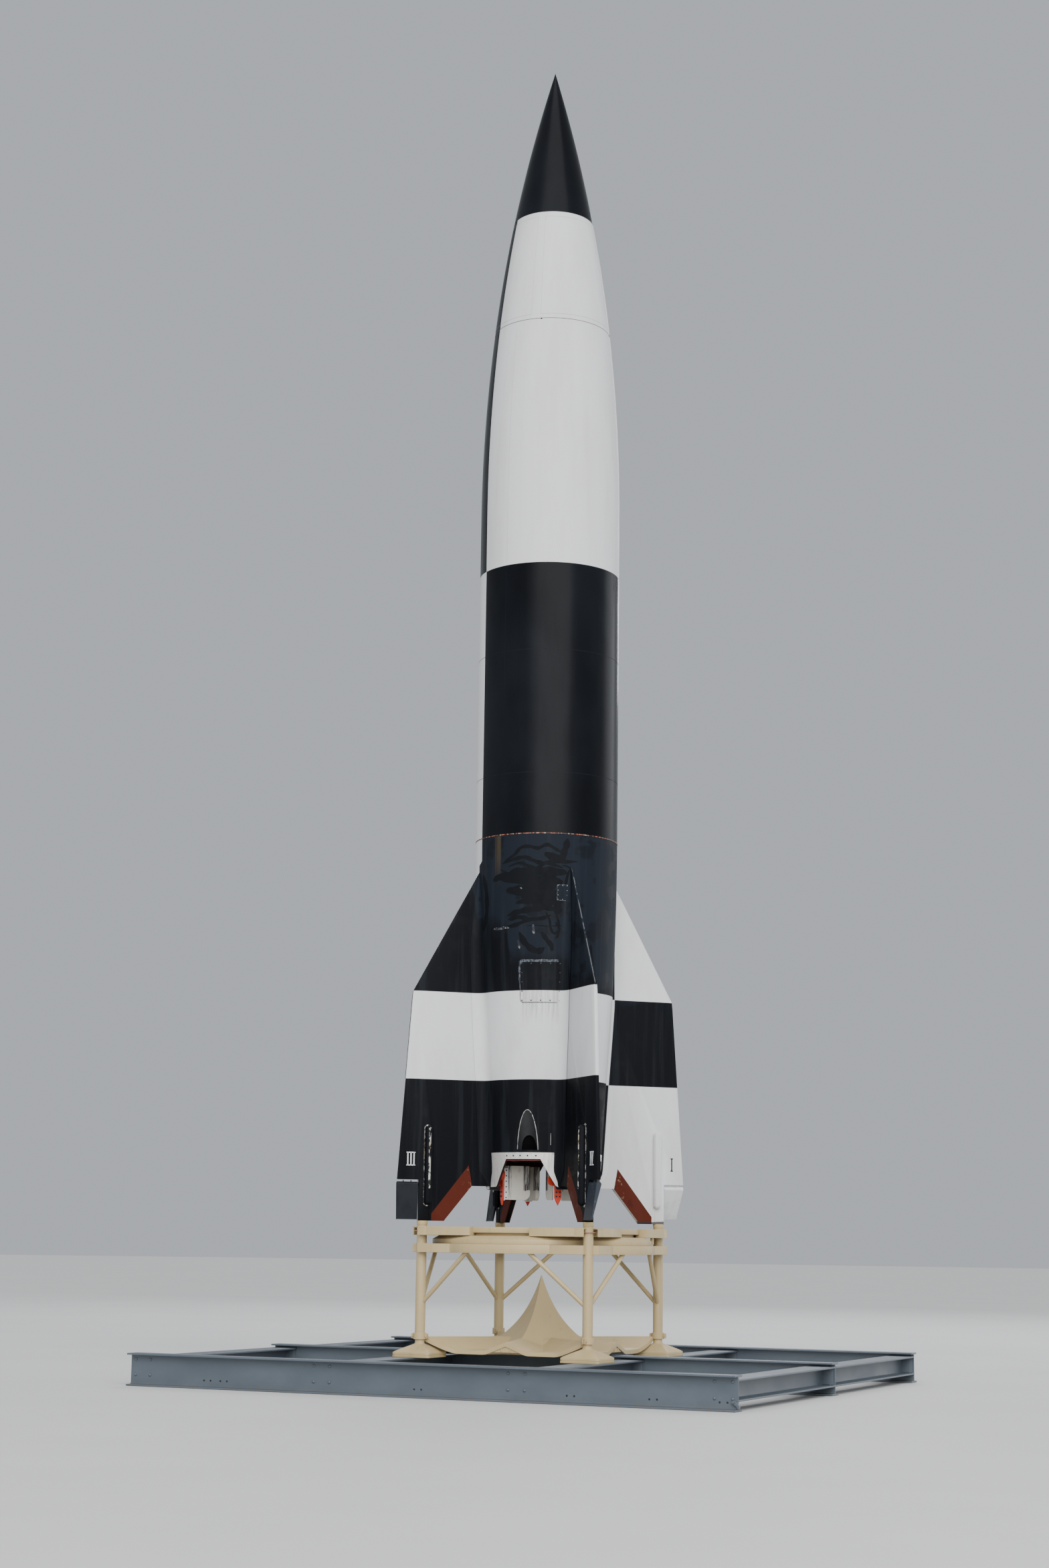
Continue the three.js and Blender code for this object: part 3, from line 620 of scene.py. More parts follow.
plainPaints = {   # base, roughness, dirt, then shine where it isn't 0.5, and metal
    "rudderDark": ((0.0115, 0.0145, 0.020), 0.45, 0.4, 0.18),
    "rudderWhite": (paint["white"], 0.45, 0.25),
    "creamPink": ((0.42, 0.25, 0.17), 0.6, 0.4),
    "vaneStrip": ((0.66, 0.66, 0.64), 0.45, 0.3),
    "red": ((0.52, 0.035, 0.012), 0.42, 0.45),
    "steel": ((0.03, 0.03, 0.032), 0.55, 0.5, 0.5, 0.6),
    # near-black for painted shade: the hole discs and the sheets behind the side frames
    "dark": ((0.012, 0.011, 0.011), 0.7, 0.5),
    "markWhite": ((0.66, 0.68, 0.72), 0.5, 0.2),
    "markBlack": ((0.01, 0.012, 0.016), 0.45, 0.1),
    "seam": ((0.33, 0.33, 0.335), 0.6, 0.3),
    "seamJoint": ((0.075, 0.073, 0.072), 0.6, 0.3),
    "seamPale": ((0.50, 0.50, 0.50), 0.5, 0.2),
    "seamDark": ((0.012, 0.0135, 0.0165), 0.5, 0.3, 0.1),
    "shadow": ((0.02, 0.02, 0.022), 0.7, 0.3),
    "chalky": ((0.20, 0.21, 0.22), 0.6, 0.3),
    "pipe": ((0.0125, 0.0145, 0.0175), 0.6, 0.4),
    "lintel": ((0.095, 0.014, 0.013), 0.6, 0.4),
    # painted shade for the wall behind the exhaust trough
    "mouth": ((0.0035, 0.0035, 0.004), 0.8, 0.2, 0.05),
    "screw": ((0.035, 0.026, 0.020), 0.6, 0.5),
    "overpaint": ((0.0075, 0.0085, 0.0105), 0.55, 0.2, 0.06),
}
for maker, table in ((flakedPaint, flakedPaints), (plainPaint, plainPaints)):
    materials.update({key: maker(key, *values) for key, values in table.items()})
print("materials made:", len(materials))


# The launch table's base: beams, bolts and the bracket at the front beam's end
beams = {"flange": 0.018, "web": 0.012, "fillet": 0.02, "edge": 0.003, "boltPitch": (0.184, 0.16),
         "boltHeight": 0.115, "boltRadius": 0.016, "lastBolt": 3.32, "plateHalf": 0.125, "plate": 0.010,
         "holes": [-2.489, -2.288, 0.009, 1.70, 2.575, 3.30], "holeGap": 0.04, "holeHeight": 0.082}
bracket = {"outline": [(-0.06, 0.07), (-0.015, 0.05), (0, 0.02), (0.02, 0.018), (0.02, 0.05), (-0.03, 0.105),
                       (-0.055, 0.105)], "thick": 0.03, "bolt": (-0.045, 0.088)}


def beamOutline(width, low, high):
    # an I-section with rounded roots and edges, from its middle
    half, web, flange = width / 2, beams["web"] / 2, beams["flange"]
    right = [(half, low), (half, low + flange), (web, low + flange),
             (web, high - flange), (half, high - flange), (half, high)]
    outline = np.array(right + [(-x, z) for x, z in reversed(right)])
    radii = np.where(np.abs(outline[:, 0]) < web + 1e-6, beams["fillet"], beams["edge"])
    return softCorners(outline, radii[:, None], 4)


def makeBeams():
    spans, web = [], beams["web"] / 2
    for name in ("front", "middle", "back"):
        low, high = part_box(f"beam_{name}")
        middle = (low.y + high.y) / 2
        outline = beamOutline(high.y - low.y, low.z, high.z) + [middle, 0]
        beam = prism(outline, low.x, high.x, 0.002, "yzx")
        addPiece(f"longBeam{name.title()}", [beam], "beam", [f"beam_{name}"])
        spans.append(middle)
    for bay in ("front", "back"):
        for i in range(1, 5):
            node, half, plate = f"cross_beam_{bay}_{i}", beams["plateHalf"], beams["plate"]
            low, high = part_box(node)
            middle = (low.x + high.x) / 2
            outline = beamOutline(high.x - low.x, low.z, high.z) * [-1, 1] + [middle, 0]
            ends = [block((middle - half, middle + half), (y, y + plate), (low.z + 0.02, high.z - 0.02))
                    for y in (low.y, high.y - plate)]
            beam = prism(outline[::-1], low.y + 0.001, high.y - 0.001, 0.002, "xzy")
            addPiece(f"crossBeam{bay.title()}{i}", [beam, *ends], "beam", [node])
    pitch, rise = beams["boltPitch"]
    crossX = [sum(span(f"cross_beam_front_{i}", "x")) / 2 for i in range(1, 5)]
    bolts = [(np.clip(x, -beams["lastBolt"], beams["lastBolt"]) + dx, y + side * (web + 0.001),
              beams["boltHeight"] + dz) for y in spans for side in (-1, 1) for x in crossX
             for dx in (-pitch / 2, pitch / 2) for dz in (0.0, rise)]
    normals = [(0, side, 0) for y in spans for side in (-1, 1) for i in range(4 * len(crossX))]
    addPiece("beamBolts", [scatter(domeHead(beams["boltRadius"], 0.012, 12), bolts, normals)], "beam")
    # the holes in the front beam's web are discs of painted shade
    holes = [(x + dx, spans[0] - web - 0.0008, beams["holeHeight"]) for x in beams["holes"]
             for dx in (-beams["holeGap"], beams["holeGap"])]
    discs = scatter(holeShadeDisc(0.0105, 0.0005), holes, [(0, -1, 0)] * len(holes))
    addPiece("webHoles", [discs], "dark")
    end, front = span("beam_front", "x")[1], spans[0] - bracket["thick"]
    outline = softCorners(np.array(bracket["outline"]) + [end, 0], 0.012)
    lug = prism(outline, front, spans[0] - web, 0.002, "xzy")
    across, height = bracket["bolt"]
    bolt = scatter(hexHead(0.016, 0.014), [(end + across, front, height)], [(0, -1, 0)])
    addPiece("beamEndBracket", [lug, bolt], "beam")


makeBeams()
print("beams made")


# Foot pads and legs
pads = {"half": 0.2285, "top": 0.44, "neck": 0.052}
legs = {"radius": 0.056, "collar": 0.072, "collarLow": 0.49, "collarHigh": 0.56, "braceLow": 0.865,
        "braceRadius": 0.025, "braceSeat": (0.38, 1.157), "lug": 0.082, "gap": 0.010}
legPlace = 1.429 / math.sqrt(2)


def footPad():
    # sections that go from a square to a circle: a superellipse whose power falls as it rises
    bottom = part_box("foot_pad_1")[0].z
    half, neck = pads["half"], pads["neck"]
    rows = [(0.0, half, 16), (0.0, half, 16), (0.002, half + 0.0015, 16), (0.022, half + 0.0015, 16),
            (0.025, half - 0.004, 16), (0.029, half - 0.004, 16), (0.031, half, 16), (0.051, half, 16),
            (0.056, half - 0.006, 14)]
    rise = pads["top"] - bottom - 0.056
    slope = [(0.056 + rise * k ** 0.92, (half - 0.006) * (1 - k) + (neck + 0.012) * k,
              14 * (1 - k) ** 1.5 + 2) for k in np.linspace(0.08, 1, 14)]
    rows += slope + [(pads["top"] + 0.006 - bottom, neck + 0.003, 2), (pads["top"] + 0.014 - bottom, neck, 2),
                     (legs["collarLow"] - bottom + 0.01, neck, 2)]
    angles = np.linspace(0, 2 * math.pi, 128, endpoint=False)
    table = np.array(rows)
    power = table[:, 2:3]
    spread = (np.abs(np.cos(angles)) ** power + np.abs(np.sin(angles)) ** power) ** (-1 / power)
    return gridShape(polar(table[:, 1:2] * spread, angles, bottom + table[:, :1]), caps=True)


def legShape():
    # the leg stands on its own axis; the collar is split, with a bolt through its two lugs
    radius, low, high, rim = legs["radius"], legs["collarLow"], legs["collarHigh"], legs["collar"]
    ringLow, ringTop = span("table_ring", "z")
    post = lathe([(0, low), (radius, low), (radius, ringTop), (0, ringTop)], 64)
    collar = lathe([(radius, low), (rim - 0.003, low), (rim, low + 0.003), (rim, high - 0.004),
                    (rim - 0.004, high), (radius, high)], 64, closed=True)
    lug, gap = legs["lug"], legs["gap"]
    lugs = [block((side * lug - 0.016, side * lug + 0.016), (face * gap - 0.006, face * gap + 0.006),
                  (low + 0.008, high - 0.008)) for side in (-1, 1) for face in (-1, 1)]
    faces = [(side, face) for side in (-1, 1) for face in (-1, 1)]
    bolts = scatter(hexHead(0.012, 0.010), [(side * (lug + 0.002), face * 0.016, (low + high) / 2)
                                            for side, face in faces], [(0, face, 0) for side, face in faces])
    braces = []
    for x, y in (legs["braceSeat"], legs["braceSeat"][::-1]):
        start = np.array([0, 0, legs["braceLow"]])
        end = np.array([x - legPlace, y - legPlace, ringLow + 0.01])
        braces.append(tube([start, (start + end) / 2, end], legs["braceRadius"], 28))
    return [post, collar, *lugs, bolts, *braces]


def makeLegs():
    pad, leg = footPad(), legShape()
    for number, turn in enumerate(quarterTurns, 1):
        place = (legPlace, legPlace, 0)
        addPiece(f"footPad{number}", [spun(shifted(pad, place), turn)], "cream",
                 [f"foot_pad_{number}"], crease=40)
        addPiece(f"leg{number}", [spun(shifted(shape, place), turn) for shape in leg], "cream",
                 [f"leg_{number}"])


makeLegs()
print("legs and pads made")


# The rings of the launch table, with the arms that hold the posts
rings = {"face": 1.130, "end": 1.005, "bandStart": 0.6, "armStart": 0.36, "wall": 0.014, "openEnd": 0.11,
         "innerEdge": 1.04, "post": 0.056, "cup": 0.061, "notch": 0.77, "bandInner": 1.17, "plateInner": 0.96,
         "turnInner": 0.98, "turnStep": 1.585, "upperOuter": 1.10, "flange": (0.045, 0.082)}


def softRing(inner, outer, low, high):
    # a rectangle with soft corners turned round Z
    profile = softCorners([(inner, low), (outer, low), (outer, high), (inner, high)], 0.004, 3)
    return lathe(profile, 192, closed=True)


def cornerPlate(start, inner, low, high):
    # the angled plate between the two faces beside a leg, notched at the leg
    face, end, notch = rings["face"], rings["end"], rings["notch"]
    outline = [(start, face), (start, inner), (notch, notch), (inner, start), (face, start), (face, end),
               (end, end), (end, face)]
    return prism(softCorners(outline, 0.004, 3), low, high, 0.003)


def mirroredPrisms(outline, corner, low, high, bevel):
    # a prism and its mirror image over the diagonal
    mirrored = [(y, x) for x, y in reversed(outline)]
    return [prism(softCorners(line, corner, 3), low, high, bevel) for line in (outline, mirrored)]


def onCorners(shapes):
    # the shapes at each of the four legs
    return [spun(shape, turn) for turn in quarterTurns for shape in shapes]


def makeRings():
    low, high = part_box("table_ring")
    ring = softRing(rings["bandInner"], high.x, low.z, high.z)
    corner = cornerPlate(rings["bandStart"], rings["plateInner"], low.z, high.z)
    addPiece("tableRing", [ring, *onCorners([corner])], "cream", ["table_ring"])
    low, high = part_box("turntable")
    armLow, armHigh = span("top_frame", "z")
    face, end, depth = rings["face"], rings["end"], rings["openEnd"]
    wall, inner, notch = rings["wall"], rings["innerEdge"], rings["notch"]
    shelf, turnInner = armLow - 0.0003, rings["turnInner"]
    profile = [(turnInner, low.z), (high.x, low.z), (high.x, rings["turnStep"]), (rings["bandInner"], shelf),
               (inner, shelf), (inner, high.z), (turnInner, high.z)]
    addPiece("turntable", [lathe(softCorners(profile, 0.004, 3), 192, closed=True)], "cream",
             ["turntable"])
    start = rings["armStart"]
    solidPart = [(start, face), (start, 1.0), (notch, notch), (end - depth, inner), (end - depth, face)]
    arms = mirroredPrisms(solidPart, 0.003, armLow, armHigh, 0.003)
    core = [(notch, notch), (inner, end - depth), (inner, end), (end, end), (end, inner),
            (end - depth, inner)]
    arms.append(prism(softCorners(core, 0.002, 3), armLow, armHigh, 0.003))
    lid = [(end - depth - 0.01, inner - 0.01), (end - 0.0006, inner - 0.01), (end - 0.0006, face - 0.0006),
           (end - depth - 0.01, face - 0.0006)]
    side = [(end - depth - 0.01, face - wall), (end, face - wall), (end, face - 0.0016),
            (end - depth - 0.01, face - 0.0016)]
    arms += mirroredPrisms(lid, 0.002, armHigh - wall, armHigh - 0.0008, 0.001)
    arms += mirroredPrisms(side, 0.002, armLow, armHigh - 0.003, 0.001)
    upper = softRing(rings["plateInner"], rings["upperOuter"], high.z + 0.0003, armHigh)
    clip = block((face - 0.06, face - 0.03), (0.62, 0.66), (armLow - 0.075, armLow + 0.002))
    bore, rim = rings["flange"]
    flange = lathe(softCorners([(bore, -0.003), (rim, -0.003), (rim, 0.003), (bore, 0.003)], 0.001, 2), 64,
                   centre=(legPlace, legPlace), closed=True)
    flange = shifted(flange, (0, 0, (armLow + armHigh) / 2))
    addPiece("topFrame", [upper, clip, *onCorners(arms)], "cream", ["top_frame"])
    addPiece("postFlanges", onCorners([flange]), "creamPink")
    for number, turn in enumerate(quarterTurns, 1):
        bottom, top = span(f"support_post_{number}", "z")
        post, cup = rings["post"], rings["cup"]
        profile = [(0, bottom), (post, bottom), (post, armHigh + 0.004), (post - 0.003, armHigh + 0.008),
                   (post, armHigh + 0.012), (cup, top - 0.012), (cup, top - 0.003), (cup - 0.003, top),
                   (0, top)]
        addPiece(f"supportPost{number}", [spun(lathe(profile, 64, centre=(legPlace, legPlace)), turn)],
                 "cream", [f"support_post_{number}"])


makeRings()
print("launch table rings made")


# The flame deflector: the highest of a concave pyramid, four ridges and four gables
deflector = {"rim": 0.93, "rimHalf": 0.62, "corner": 0.975 * math.sqrt(2), "lip": 0.045, "soft": 0.006,
             "bowl": (0.5824, 0.4456, 0.1), "ridge": (0.520, 0.607), "plate": 0.387, "crest": 0.548,
             "crestSlope": 0.071, "gableSlope": 0.388, "ribTop": 0.425, "ribHalf": 0.052, "ribLow": 0.378,
             "ribWire": 0.0055}


def deflectorHeight(x, y):
    # heights in metres over the plate; the parts meet in a small smooth fillet
    x, y = np.abs(x), np.abs(y)
    d = deflector
    (reach, start, drop), (ridgeTop, ridgeSlope) = d["bowl"], d["ridge"]
    crest, fromCrest, fromRidge = np.maximum(x, y), np.minimum(x, y), np.abs(x - y) / math.sqrt(2)
    parts = np.stack([reach / (x + y + start) - drop, ridgeTop - ridgeSlope * fromRidge,
                      d["crest"] - d["crestSlope"] * crest - d["gableSlope"] * fromCrest, d["plate"] + 0 * x])
    soft = d["soft"]
    return soft * np.log(np.exp((parts - parts.max(axis=0)) / soft).sum(axis=0)) + parts.max(axis=0)


def deflectorEdge(angle):
    # the distance to the rim: straight sides, then cut corners
    local = np.mod(angle, math.pi / 2)
    folded = np.minimum(local, math.pi / 2 - local)
    cut = math.atan2(deflector["rimHalf"], deflector["rim"])
    straight = deflector["rim"] / np.cos(np.minimum(folded, cut))
    share = np.clip((folded - cut) / (math.pi / 4 - cut), 0, 1)
    return straight + share * (deflector["corner"] - deflector["rim"] / math.cos(cut))


def makeDeflector():
    angles = np.linspace(0, 2 * math.pi, 384, endpoint=False)
    fractions = np.concatenate([[0.004], np.linspace(0.02, 1, 96)])
    reach = deflectorEdge(angles)[None] * fractions[:, None]
    x, y = reach * np.cos(angles), reach * np.sin(angles)
    top = deflectorHeight(x, y)
    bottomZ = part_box("deflector")[0].z
    lipZ = np.maximum(bottomZ, top[-1] - deflector["lip"])
    floor = np.full_like(lipZ, bottomZ)
    rows = [np.stack([x[-1] * share, y[-1] * share, height], axis=-1) for share, height in
            ((0.05, floor), (0.72, floor), (1, lipZ), (1, top[-1]))]
    rows += [np.stack([x[i], y[i], top[i]], axis=-1) for i in reversed(range(len(fractions)))]
    d = deflector
    rim, peak = d["rim"], d["crest"] - d["crestSlope"] * d["rim"]
    half = (peak - d["plate"]) / d["gableSlope"] - 0.01
    roof = [(-half, d["plate"] - 0.015), (half, d["plate"] - 0.015), (0, peak - 0.003)]
    gable = prism(softCorners(roof, 0.004, 3), rim - 0.035, rim - 0.012, 0.001, "yzx")
    t = np.linspace(0, math.pi, 17)
    arch = np.column_stack([-d["ribHalf"] * np.cos(t), d["ribTop"] + d["ribHalf"] * 0.9 * np.sin(t)])
    arch = np.concatenate([[[-d["ribHalf"], d["ribLow"]]], arch, [[d["ribHalf"], d["ribLow"]]]])
    rib = tube(np.column_stack([np.full(len(arch), rim - 0.008), arch]), d["ribWire"], 10)
    shapes = [gridShape(np.stack(rows), caps=True), *onCorners([gable, rib])]
    addPiece("deflectorPlates", shapes, "cream", ["deflector"], crease=24)


makeDeflector()
print("deflector made")


# The rocket's body
body = {"radius": 0.8255, "length": 14.03, "ogive": 5.75, "noseSeam": 12.0, "controlSeam": 10.56,
        "tailSeam": 4.34, "skirt": 0.36}
tailRows = np.array([(0.36, 0.640), (0.72, 0.664), (1.53, 0.712), (2.01, 0.748), (2.5, 0.779), (3.1, 0.805),
                     (3.7, 0.820), (4.34, 0.8255)])


def ogiveRadius(height):
    # an arc of a circle tangent to the cylinder, closing at the tip
    sweep = (body["radius"] ** 2 + body["ogive"] ** 2) / (2 * body["radius"])
    reach = np.maximum(0, height - (body["length"] - body["ogive"]))
    return np.sqrt(np.maximum(sweep ** 2 - reach ** 2, 0)) + body["radius"] - sweep


def tailRadius(height):
    # the tail's outline, its corners averaged over a short stretch
    window = np.linspace(-0.14, 0.14, 9)
    samples = np.asarray(height, float)[..., None] + window
    low = tailRows[0, 1] + (samples - tailRows[0, 0]) * (tailRows[1, 1] - tailRows[0, 1]) / 0.36
    inside = np.interp(samples, tailRows[:, 0], tailRows[:, 1])
    return np.where(samples < tailRows[0, 0], low, inside).mean(axis=-1)


def skinPoints(radiusAt, angle, height, lift=0.0):
    # points on a surface of revolution, or a lift outside it, at heights above the feet
    return polar(radiusAt(height) + lift, angle, height + feetHeight)


def shellProfile(low, high, radiusAt, rows):
    # from the axis out along the bottom, up the side and back, with small rounded rims
    edge = 0.003
    heights = np.linspace(low + edge, high - edge, rows)
    side = np.column_stack([radiusAt(heights), heights + feetHeight])
    bottom = [(0, low + feetHeight), (radiusAt(np.array(low)) - edge, low + feetHeight)]
    top = [(radiusAt(np.array(high)) - edge, high + feetHeight), (0, high + feetHeight)]
    return np.concatenate([bottom, side, top])


def surfacePlate(outline, radiusAt, thickness, bevel=0.002, rings=6, back=0.0):
    # a plate on a surface of revolution; its outline is in (angle, height). Rings shrink towards the
    # middle, the outermost two make the edge
    outline = np.asarray(outline, float)
    middle = outline.mean(axis=0)
    size = np.abs(outline - middle).max(axis=0) * [body["radius"], 1]
    cut = 1 - bevel / size.min()
    shares = np.concatenate([np.linspace(0.02, 0.9, rings), [cut, 1.0, 1.0]])
    lifts = np.concatenate([np.full(rings + 1, thickness), [thickness - bevel, back]])
    points = middle + shares[:, None, None] * (outline - middle)
    return gridShape(skinPoints(radiusAt, points[..., 0], points[..., 1], lifts[:, None])[::-1], caps=True)


def rectangle(middleAngle, halfAcross, low, high, radius, corner, perSide=10):
    # a rectangle in (angle, height) with round corners and points along its sides
    half = halfAcross / radius
    scaled = [(-halfAcross, low), (halfAcross, low), (halfAcross, high), (-halfAcross, high)]
    rounded = softCorners(scaled, corner, 5)
    loops = np.concatenate([rounded, rounded[:1]])
    outline = np.concatenate([np.linspace(a, b, perSide if np.linalg.norm(b - a) > 0.1 else 2)[:-1]
                              for a, b in zip(loops, loops[1:])])
    return np.column_stack([middleAngle + outline[:, 0] / halfAcross * half, outline[:, 1]])


def onSurface(angles, heights, radiusAt, lift=0.0):
    # places and outward normals of small things on the body
    angles, heights = np.asarray(angles, float), np.asarray(heights, float)
    return skinPoints(radiusAt, angles, heights, lift), polar(1.0, angles, 0.0 * heights)


def ribbon(outline, radiusAt, lift, width):
    # a narrow flat band along a closed outline on the body
    outer, inner = inset(outline, -width / 2), inset(outline, width / 2)
    rows = [(inner, 0.0), (inner, lift), (outer, lift), (outer, 0.0)]
    return gridShape(np.stack([skinPoints(radiusAt, *row.T, up) for row, up in rows]), closeV=True)


doors = {"turn": math.radians(8), "half": math.radians(40), "low": 10.62, "high": 11.93, "seam": 0.005,
         "radius": 0.7, "corner": 0.010}


def makeForebody():
    addPiece("noseCone", [lathe(shellProfile(body["noseSeam"], body["length"], ogiveRadius, 90)[:-1], 192)],
             "nose", ["nose_cone"])
    control = lathe(shellProfile(body["controlSeam"], body["noseSeam"] - 0.0003, ogiveRadius, 24), 192)
    addPiece("controlSection", [control], "body", ["control_section"])
    for number, angle in enumerate(diagonals, 1):
        half = doors["half"] * doors["radius"]
        outline = rectangle(angle + doors["turn"], half, doors["low"], doors["high"], doors["radius"],
                            doors["corner"], 16)
        panel = surfacePlate(outline, ogiveRadius, 0.0016, 0.001, 10)
        addPiece(f"controlDoor{number}", [panel], "body", [f"control_door_{number}"])
        seam = ribbon(outline, ogiveRadius, 0.0008, doors["seam"])
        addPiece(f"controlDoorSeam{number}", [seam], "seam")
    low, high = body["tailSeam"], body["controlSeam"] - 0.0003
    profile = shellProfile(low, high, ogiveRadius, 110)
    for name, start in (("Right", -math.pi / 2), ("Left", math.pi / 2)):
        angles = start + np.linspace(0.0003, math.pi - 0.0003, 97)
        points = polar(profile[:, None, 0], angles[None], profile[:, None, 1])
        addPiece(f"midShell{name}", [gridShape(points, closeU=False, sides=True)], "body",
                 [f"mid_shell_{name.lower()}"])


def hoop(height, half, lift):
    # a low ring round the body
    middle = ogiveRadius(np.array(height)) + lift
    below, above = (ogiveRadius(np.array(height + side * half)) - 0.002 for side in (-1, 1))
    low, high = height - half + feetHeight, height + half + feetHeight
    return lathe([(below, low), (middle, low), (middle, high), (above, high)], 192, closed=True)


def strap(degreesLow, degreesHigh, low, high, half):
    # an upright seam: a flat strip from low to high
    height = np.linspace(low, high, 60)
    degrees = np.linspace(degreesLow, degreesHigh, 60)
    across = np.array([-1, -1, 1, 1])[:, None] * half / 0.82
    lift = np.array([-0.001, 0.0006, 0.0006, -0.001])[:, None]
    return band(skinPoints(ogiveRadius, np.radians(degrees)[None] + across, height[None], lift))


ports = {"angle": math.radians(4.5), "lows": (7.335, 7.435), "tall": 0.072, "half": 0.055, "corner": 0.030}


def makeSeams():
    # the joint rings, the hoops and straps of the mid-section, and the small bolts at its top
    addPiece("controlJoint", [hoop(body["controlSeam"], 0.0034, 0.0008)], "seamJoint")
    addPiece("noseJoint", [hoop(body["noseSeam"], 0.0015, 0.0006)], "shadow")
    hoops = [hoop(height, 0.0022, 0.0008) for height in (6.494, 5.051)]
    addPiece("midHoops", hoops, "seamDark")
    addPiece("tailJoint", [hoop(body["tailSeam"] + 0.004, 0.005, 0.0028)], "jointLine")
    addPiece("uprightSeams", [strap(-103.3, -103.3, 5.83, 7.45, 0.0014)], "seamDark")
    straps = [strap(-102.5, -102.3, 7.56, 10.45, 0.0016), strap(-116, -110, 8.3, 10.47, 0.0013)]
    addPiece("whiteSeams", straps, "seamPale")
    outlines = [rectangle(ports["angle"], ports["half"], low, low + ports["tall"], body["radius"],
                          ports["corner"]) for low in ports["lows"]]
    addPiece("sidePorts", [ribbon(outline, ogiveRadius, 0.0012, 0.012) for outline in outlines], "shadow")
    angles = np.radians(np.arange(4) * 90 + 13.7)
    places, normals = onSurface(angles, np.full(4, body["controlSeam"] - 0.004), ogiveRadius, 0.0008)
    bolts = scatter(domeHead(0.010, 0.006), places, normals)
    addPiece("controlJointBolts", [bolts], "shadow")


makeForebody()
makeSeams()
print("nose, control section and mid-section made")


# The tail: a hollow skirt with a window in front and behind, and an arched recess
windows = {"sillHalf": 0.37, "kneeHalf": 0.35, "headHalf": 0.205, "head": 0.69, "knee": 0.40, "shift": 0.045,
           "frameHead": 0.763, "frameTop": 0.395, "frameBottom": 0.415, "frameLow": 0.385, "lintel": 0.02}
skirt = {"wall": 0.03, "ceiling": 1.15}


def windowEdge(across):
    # the height of the window's edge over a distance from its middle; below the skirt there is none
    w = windows
    heights = [w["head"], w["head"], w["knee"], 0.30, 0.0]
    places = [0.0, w["headHalf"], w["kneeHalf"], w["sillHalf"], w["sillHalf"] + 0.06]
    return np.interp(np.abs(across), places, heights)


def skirtEdge(angles):
    # the skirt's lowest height at each angle, the two windows cut out
    heights = np.full_like(angles, body["skirt"])
    for facing in (-math.pi / 2, math.pi / 2):
        offset = np.angle(np.exp(1j * (angles - facing)))
        near = np.abs(offset) < 1.0
        height = np.full_like(angles, 0.5)
        for _ in range(8):
            across = tailRadius(height) * np.sin(offset) - windows["shift"]
            height = np.maximum(windowEdge(across), body["skirt"])
        heights = np.where(near, np.maximum(heights, height), heights)
    return heights


def tailColumns():
    # even columns, and more of them where the windows' edges run
    base = np.linspace(-math.pi, math.pi, 224, endpoint=False)
    extra = []
    for facing in (-math.pi / 2, math.pi / 2):
        for side in (-1, 1):
            for across in np.linspace(windows["headHalf"], windows["sillHalf"], 26):
                extra.append(facing + math.asin((windows["shift"] + side * across) / 0.655))
            corner = windows["shift"] + side * (windows["headHalf"] - 0.0008)
            extra.append(facing + math.asin(corner / 0.66))
    columns = np.sort(np.mod(np.concatenate([base, extra]) + math.pi, 2 * math.pi) - math.pi)
    return columns[np.concatenate([[True], np.diff(columns) > 2e-4])]


def makeTail():
    # loops up the outside, over the top, and down the inside from the ceiling to the skirt's edge
    angles = tailColumns()
    edge, rim, top, ceiling = skirtEdge(angles), 0.002, body["tailSeam"] - 0.0003, skirt["ceiling"]
    share = np.concatenate([np.linspace(0, 0.2, 16), np.linspace(0.24, 1, 60)])[:, None]
    outerZ = edge + rim + (top - rim - edge - rim) * share
    innerZ = edge + (ceiling - edge) * np.linspace(1, 0, 14)[:, None]
    onAxis = np.zeros((1, len(angles)))
    rows = [skinPoints(tailRadius, angles, outerZ), skinPoints(tailRadius, angles, onAxis + top, -rim),
            polar(onAxis, angles, top + feetHeight), polar(onAxis, angles, ceiling + feetHeight),
            skinPoints(tailRadius, angles, innerZ, -skirt["wall"]),
            skinPoints(tailRadius, angles, edge[None], -rim)]
    shape = gridShape(np.concatenate(rows), closeV=True)
    piece = addPiece("tailBody", [shape], "tail", ["tail_body"], crease=30)
    cutter = troughCutter()
    cut = piece.modifiers.new("trough", "BOOLEAN")
    cut.operation, cut.object, cut.solver = "DIFFERENCE", cutter, "EXACT"
    mesh = bakedMesh(piece)
    bpy.data.objects.remove(cutter)
    mesh.polygons.foreach_set("use_smooth", np.ones(len(mesh.polygons), bool))
    mesh.set_sharp_from_angle(angle=math.radians(30))


# A sheared cylinder cuts the exhaust trough: its axis is on the skin at the bottom, and a radius
# outside it at the top, so that the trough runs out there
trough = {"angle": math.radians(9.5), "radius": 0.118, "low": 0.79, "top": 1.238, "wall": 0.006,
          "mouthTop": 0.955, "mouthHalf": math.radians(47), "side": math.radians(84)}


def troughAxis(height):
    # how far the trough's axis is from the rocket's: on the skin below, a radius outside it at the top
    share = (height - trough["low"]) / (trough["top"] - trough["low"])
    return tailRadius(height) + trough["radius"] * share


def troughPoints(turn, height, radius):
    # a point of the sheared cylinder: the turn is measured from the side that faces the rocket's axis
    turn, height = np.broadcast_arrays(turn, height)
    return np.stack([radius * np.sin(turn), -troughAxis(height) + radius * np.cos(turn),
                     height + feetHeight], axis=-1)


def troughTop(turn):
    # the height at which the trough's edge reaches the skin, looked up from the edge's turn by height
    z = np.linspace(trough["low"], trough["top"], 200)
    skin, axis, radius = tailRadius(z) - 0.0012, troughAxis(z), trough["radius"]
    edge = np.arccos(np.clip((axis ** 2 + radius ** 2 - skin ** 2) / (2 * axis * radius), -1, 1))
    return np.interp(-np.abs(turn), -edge, z)


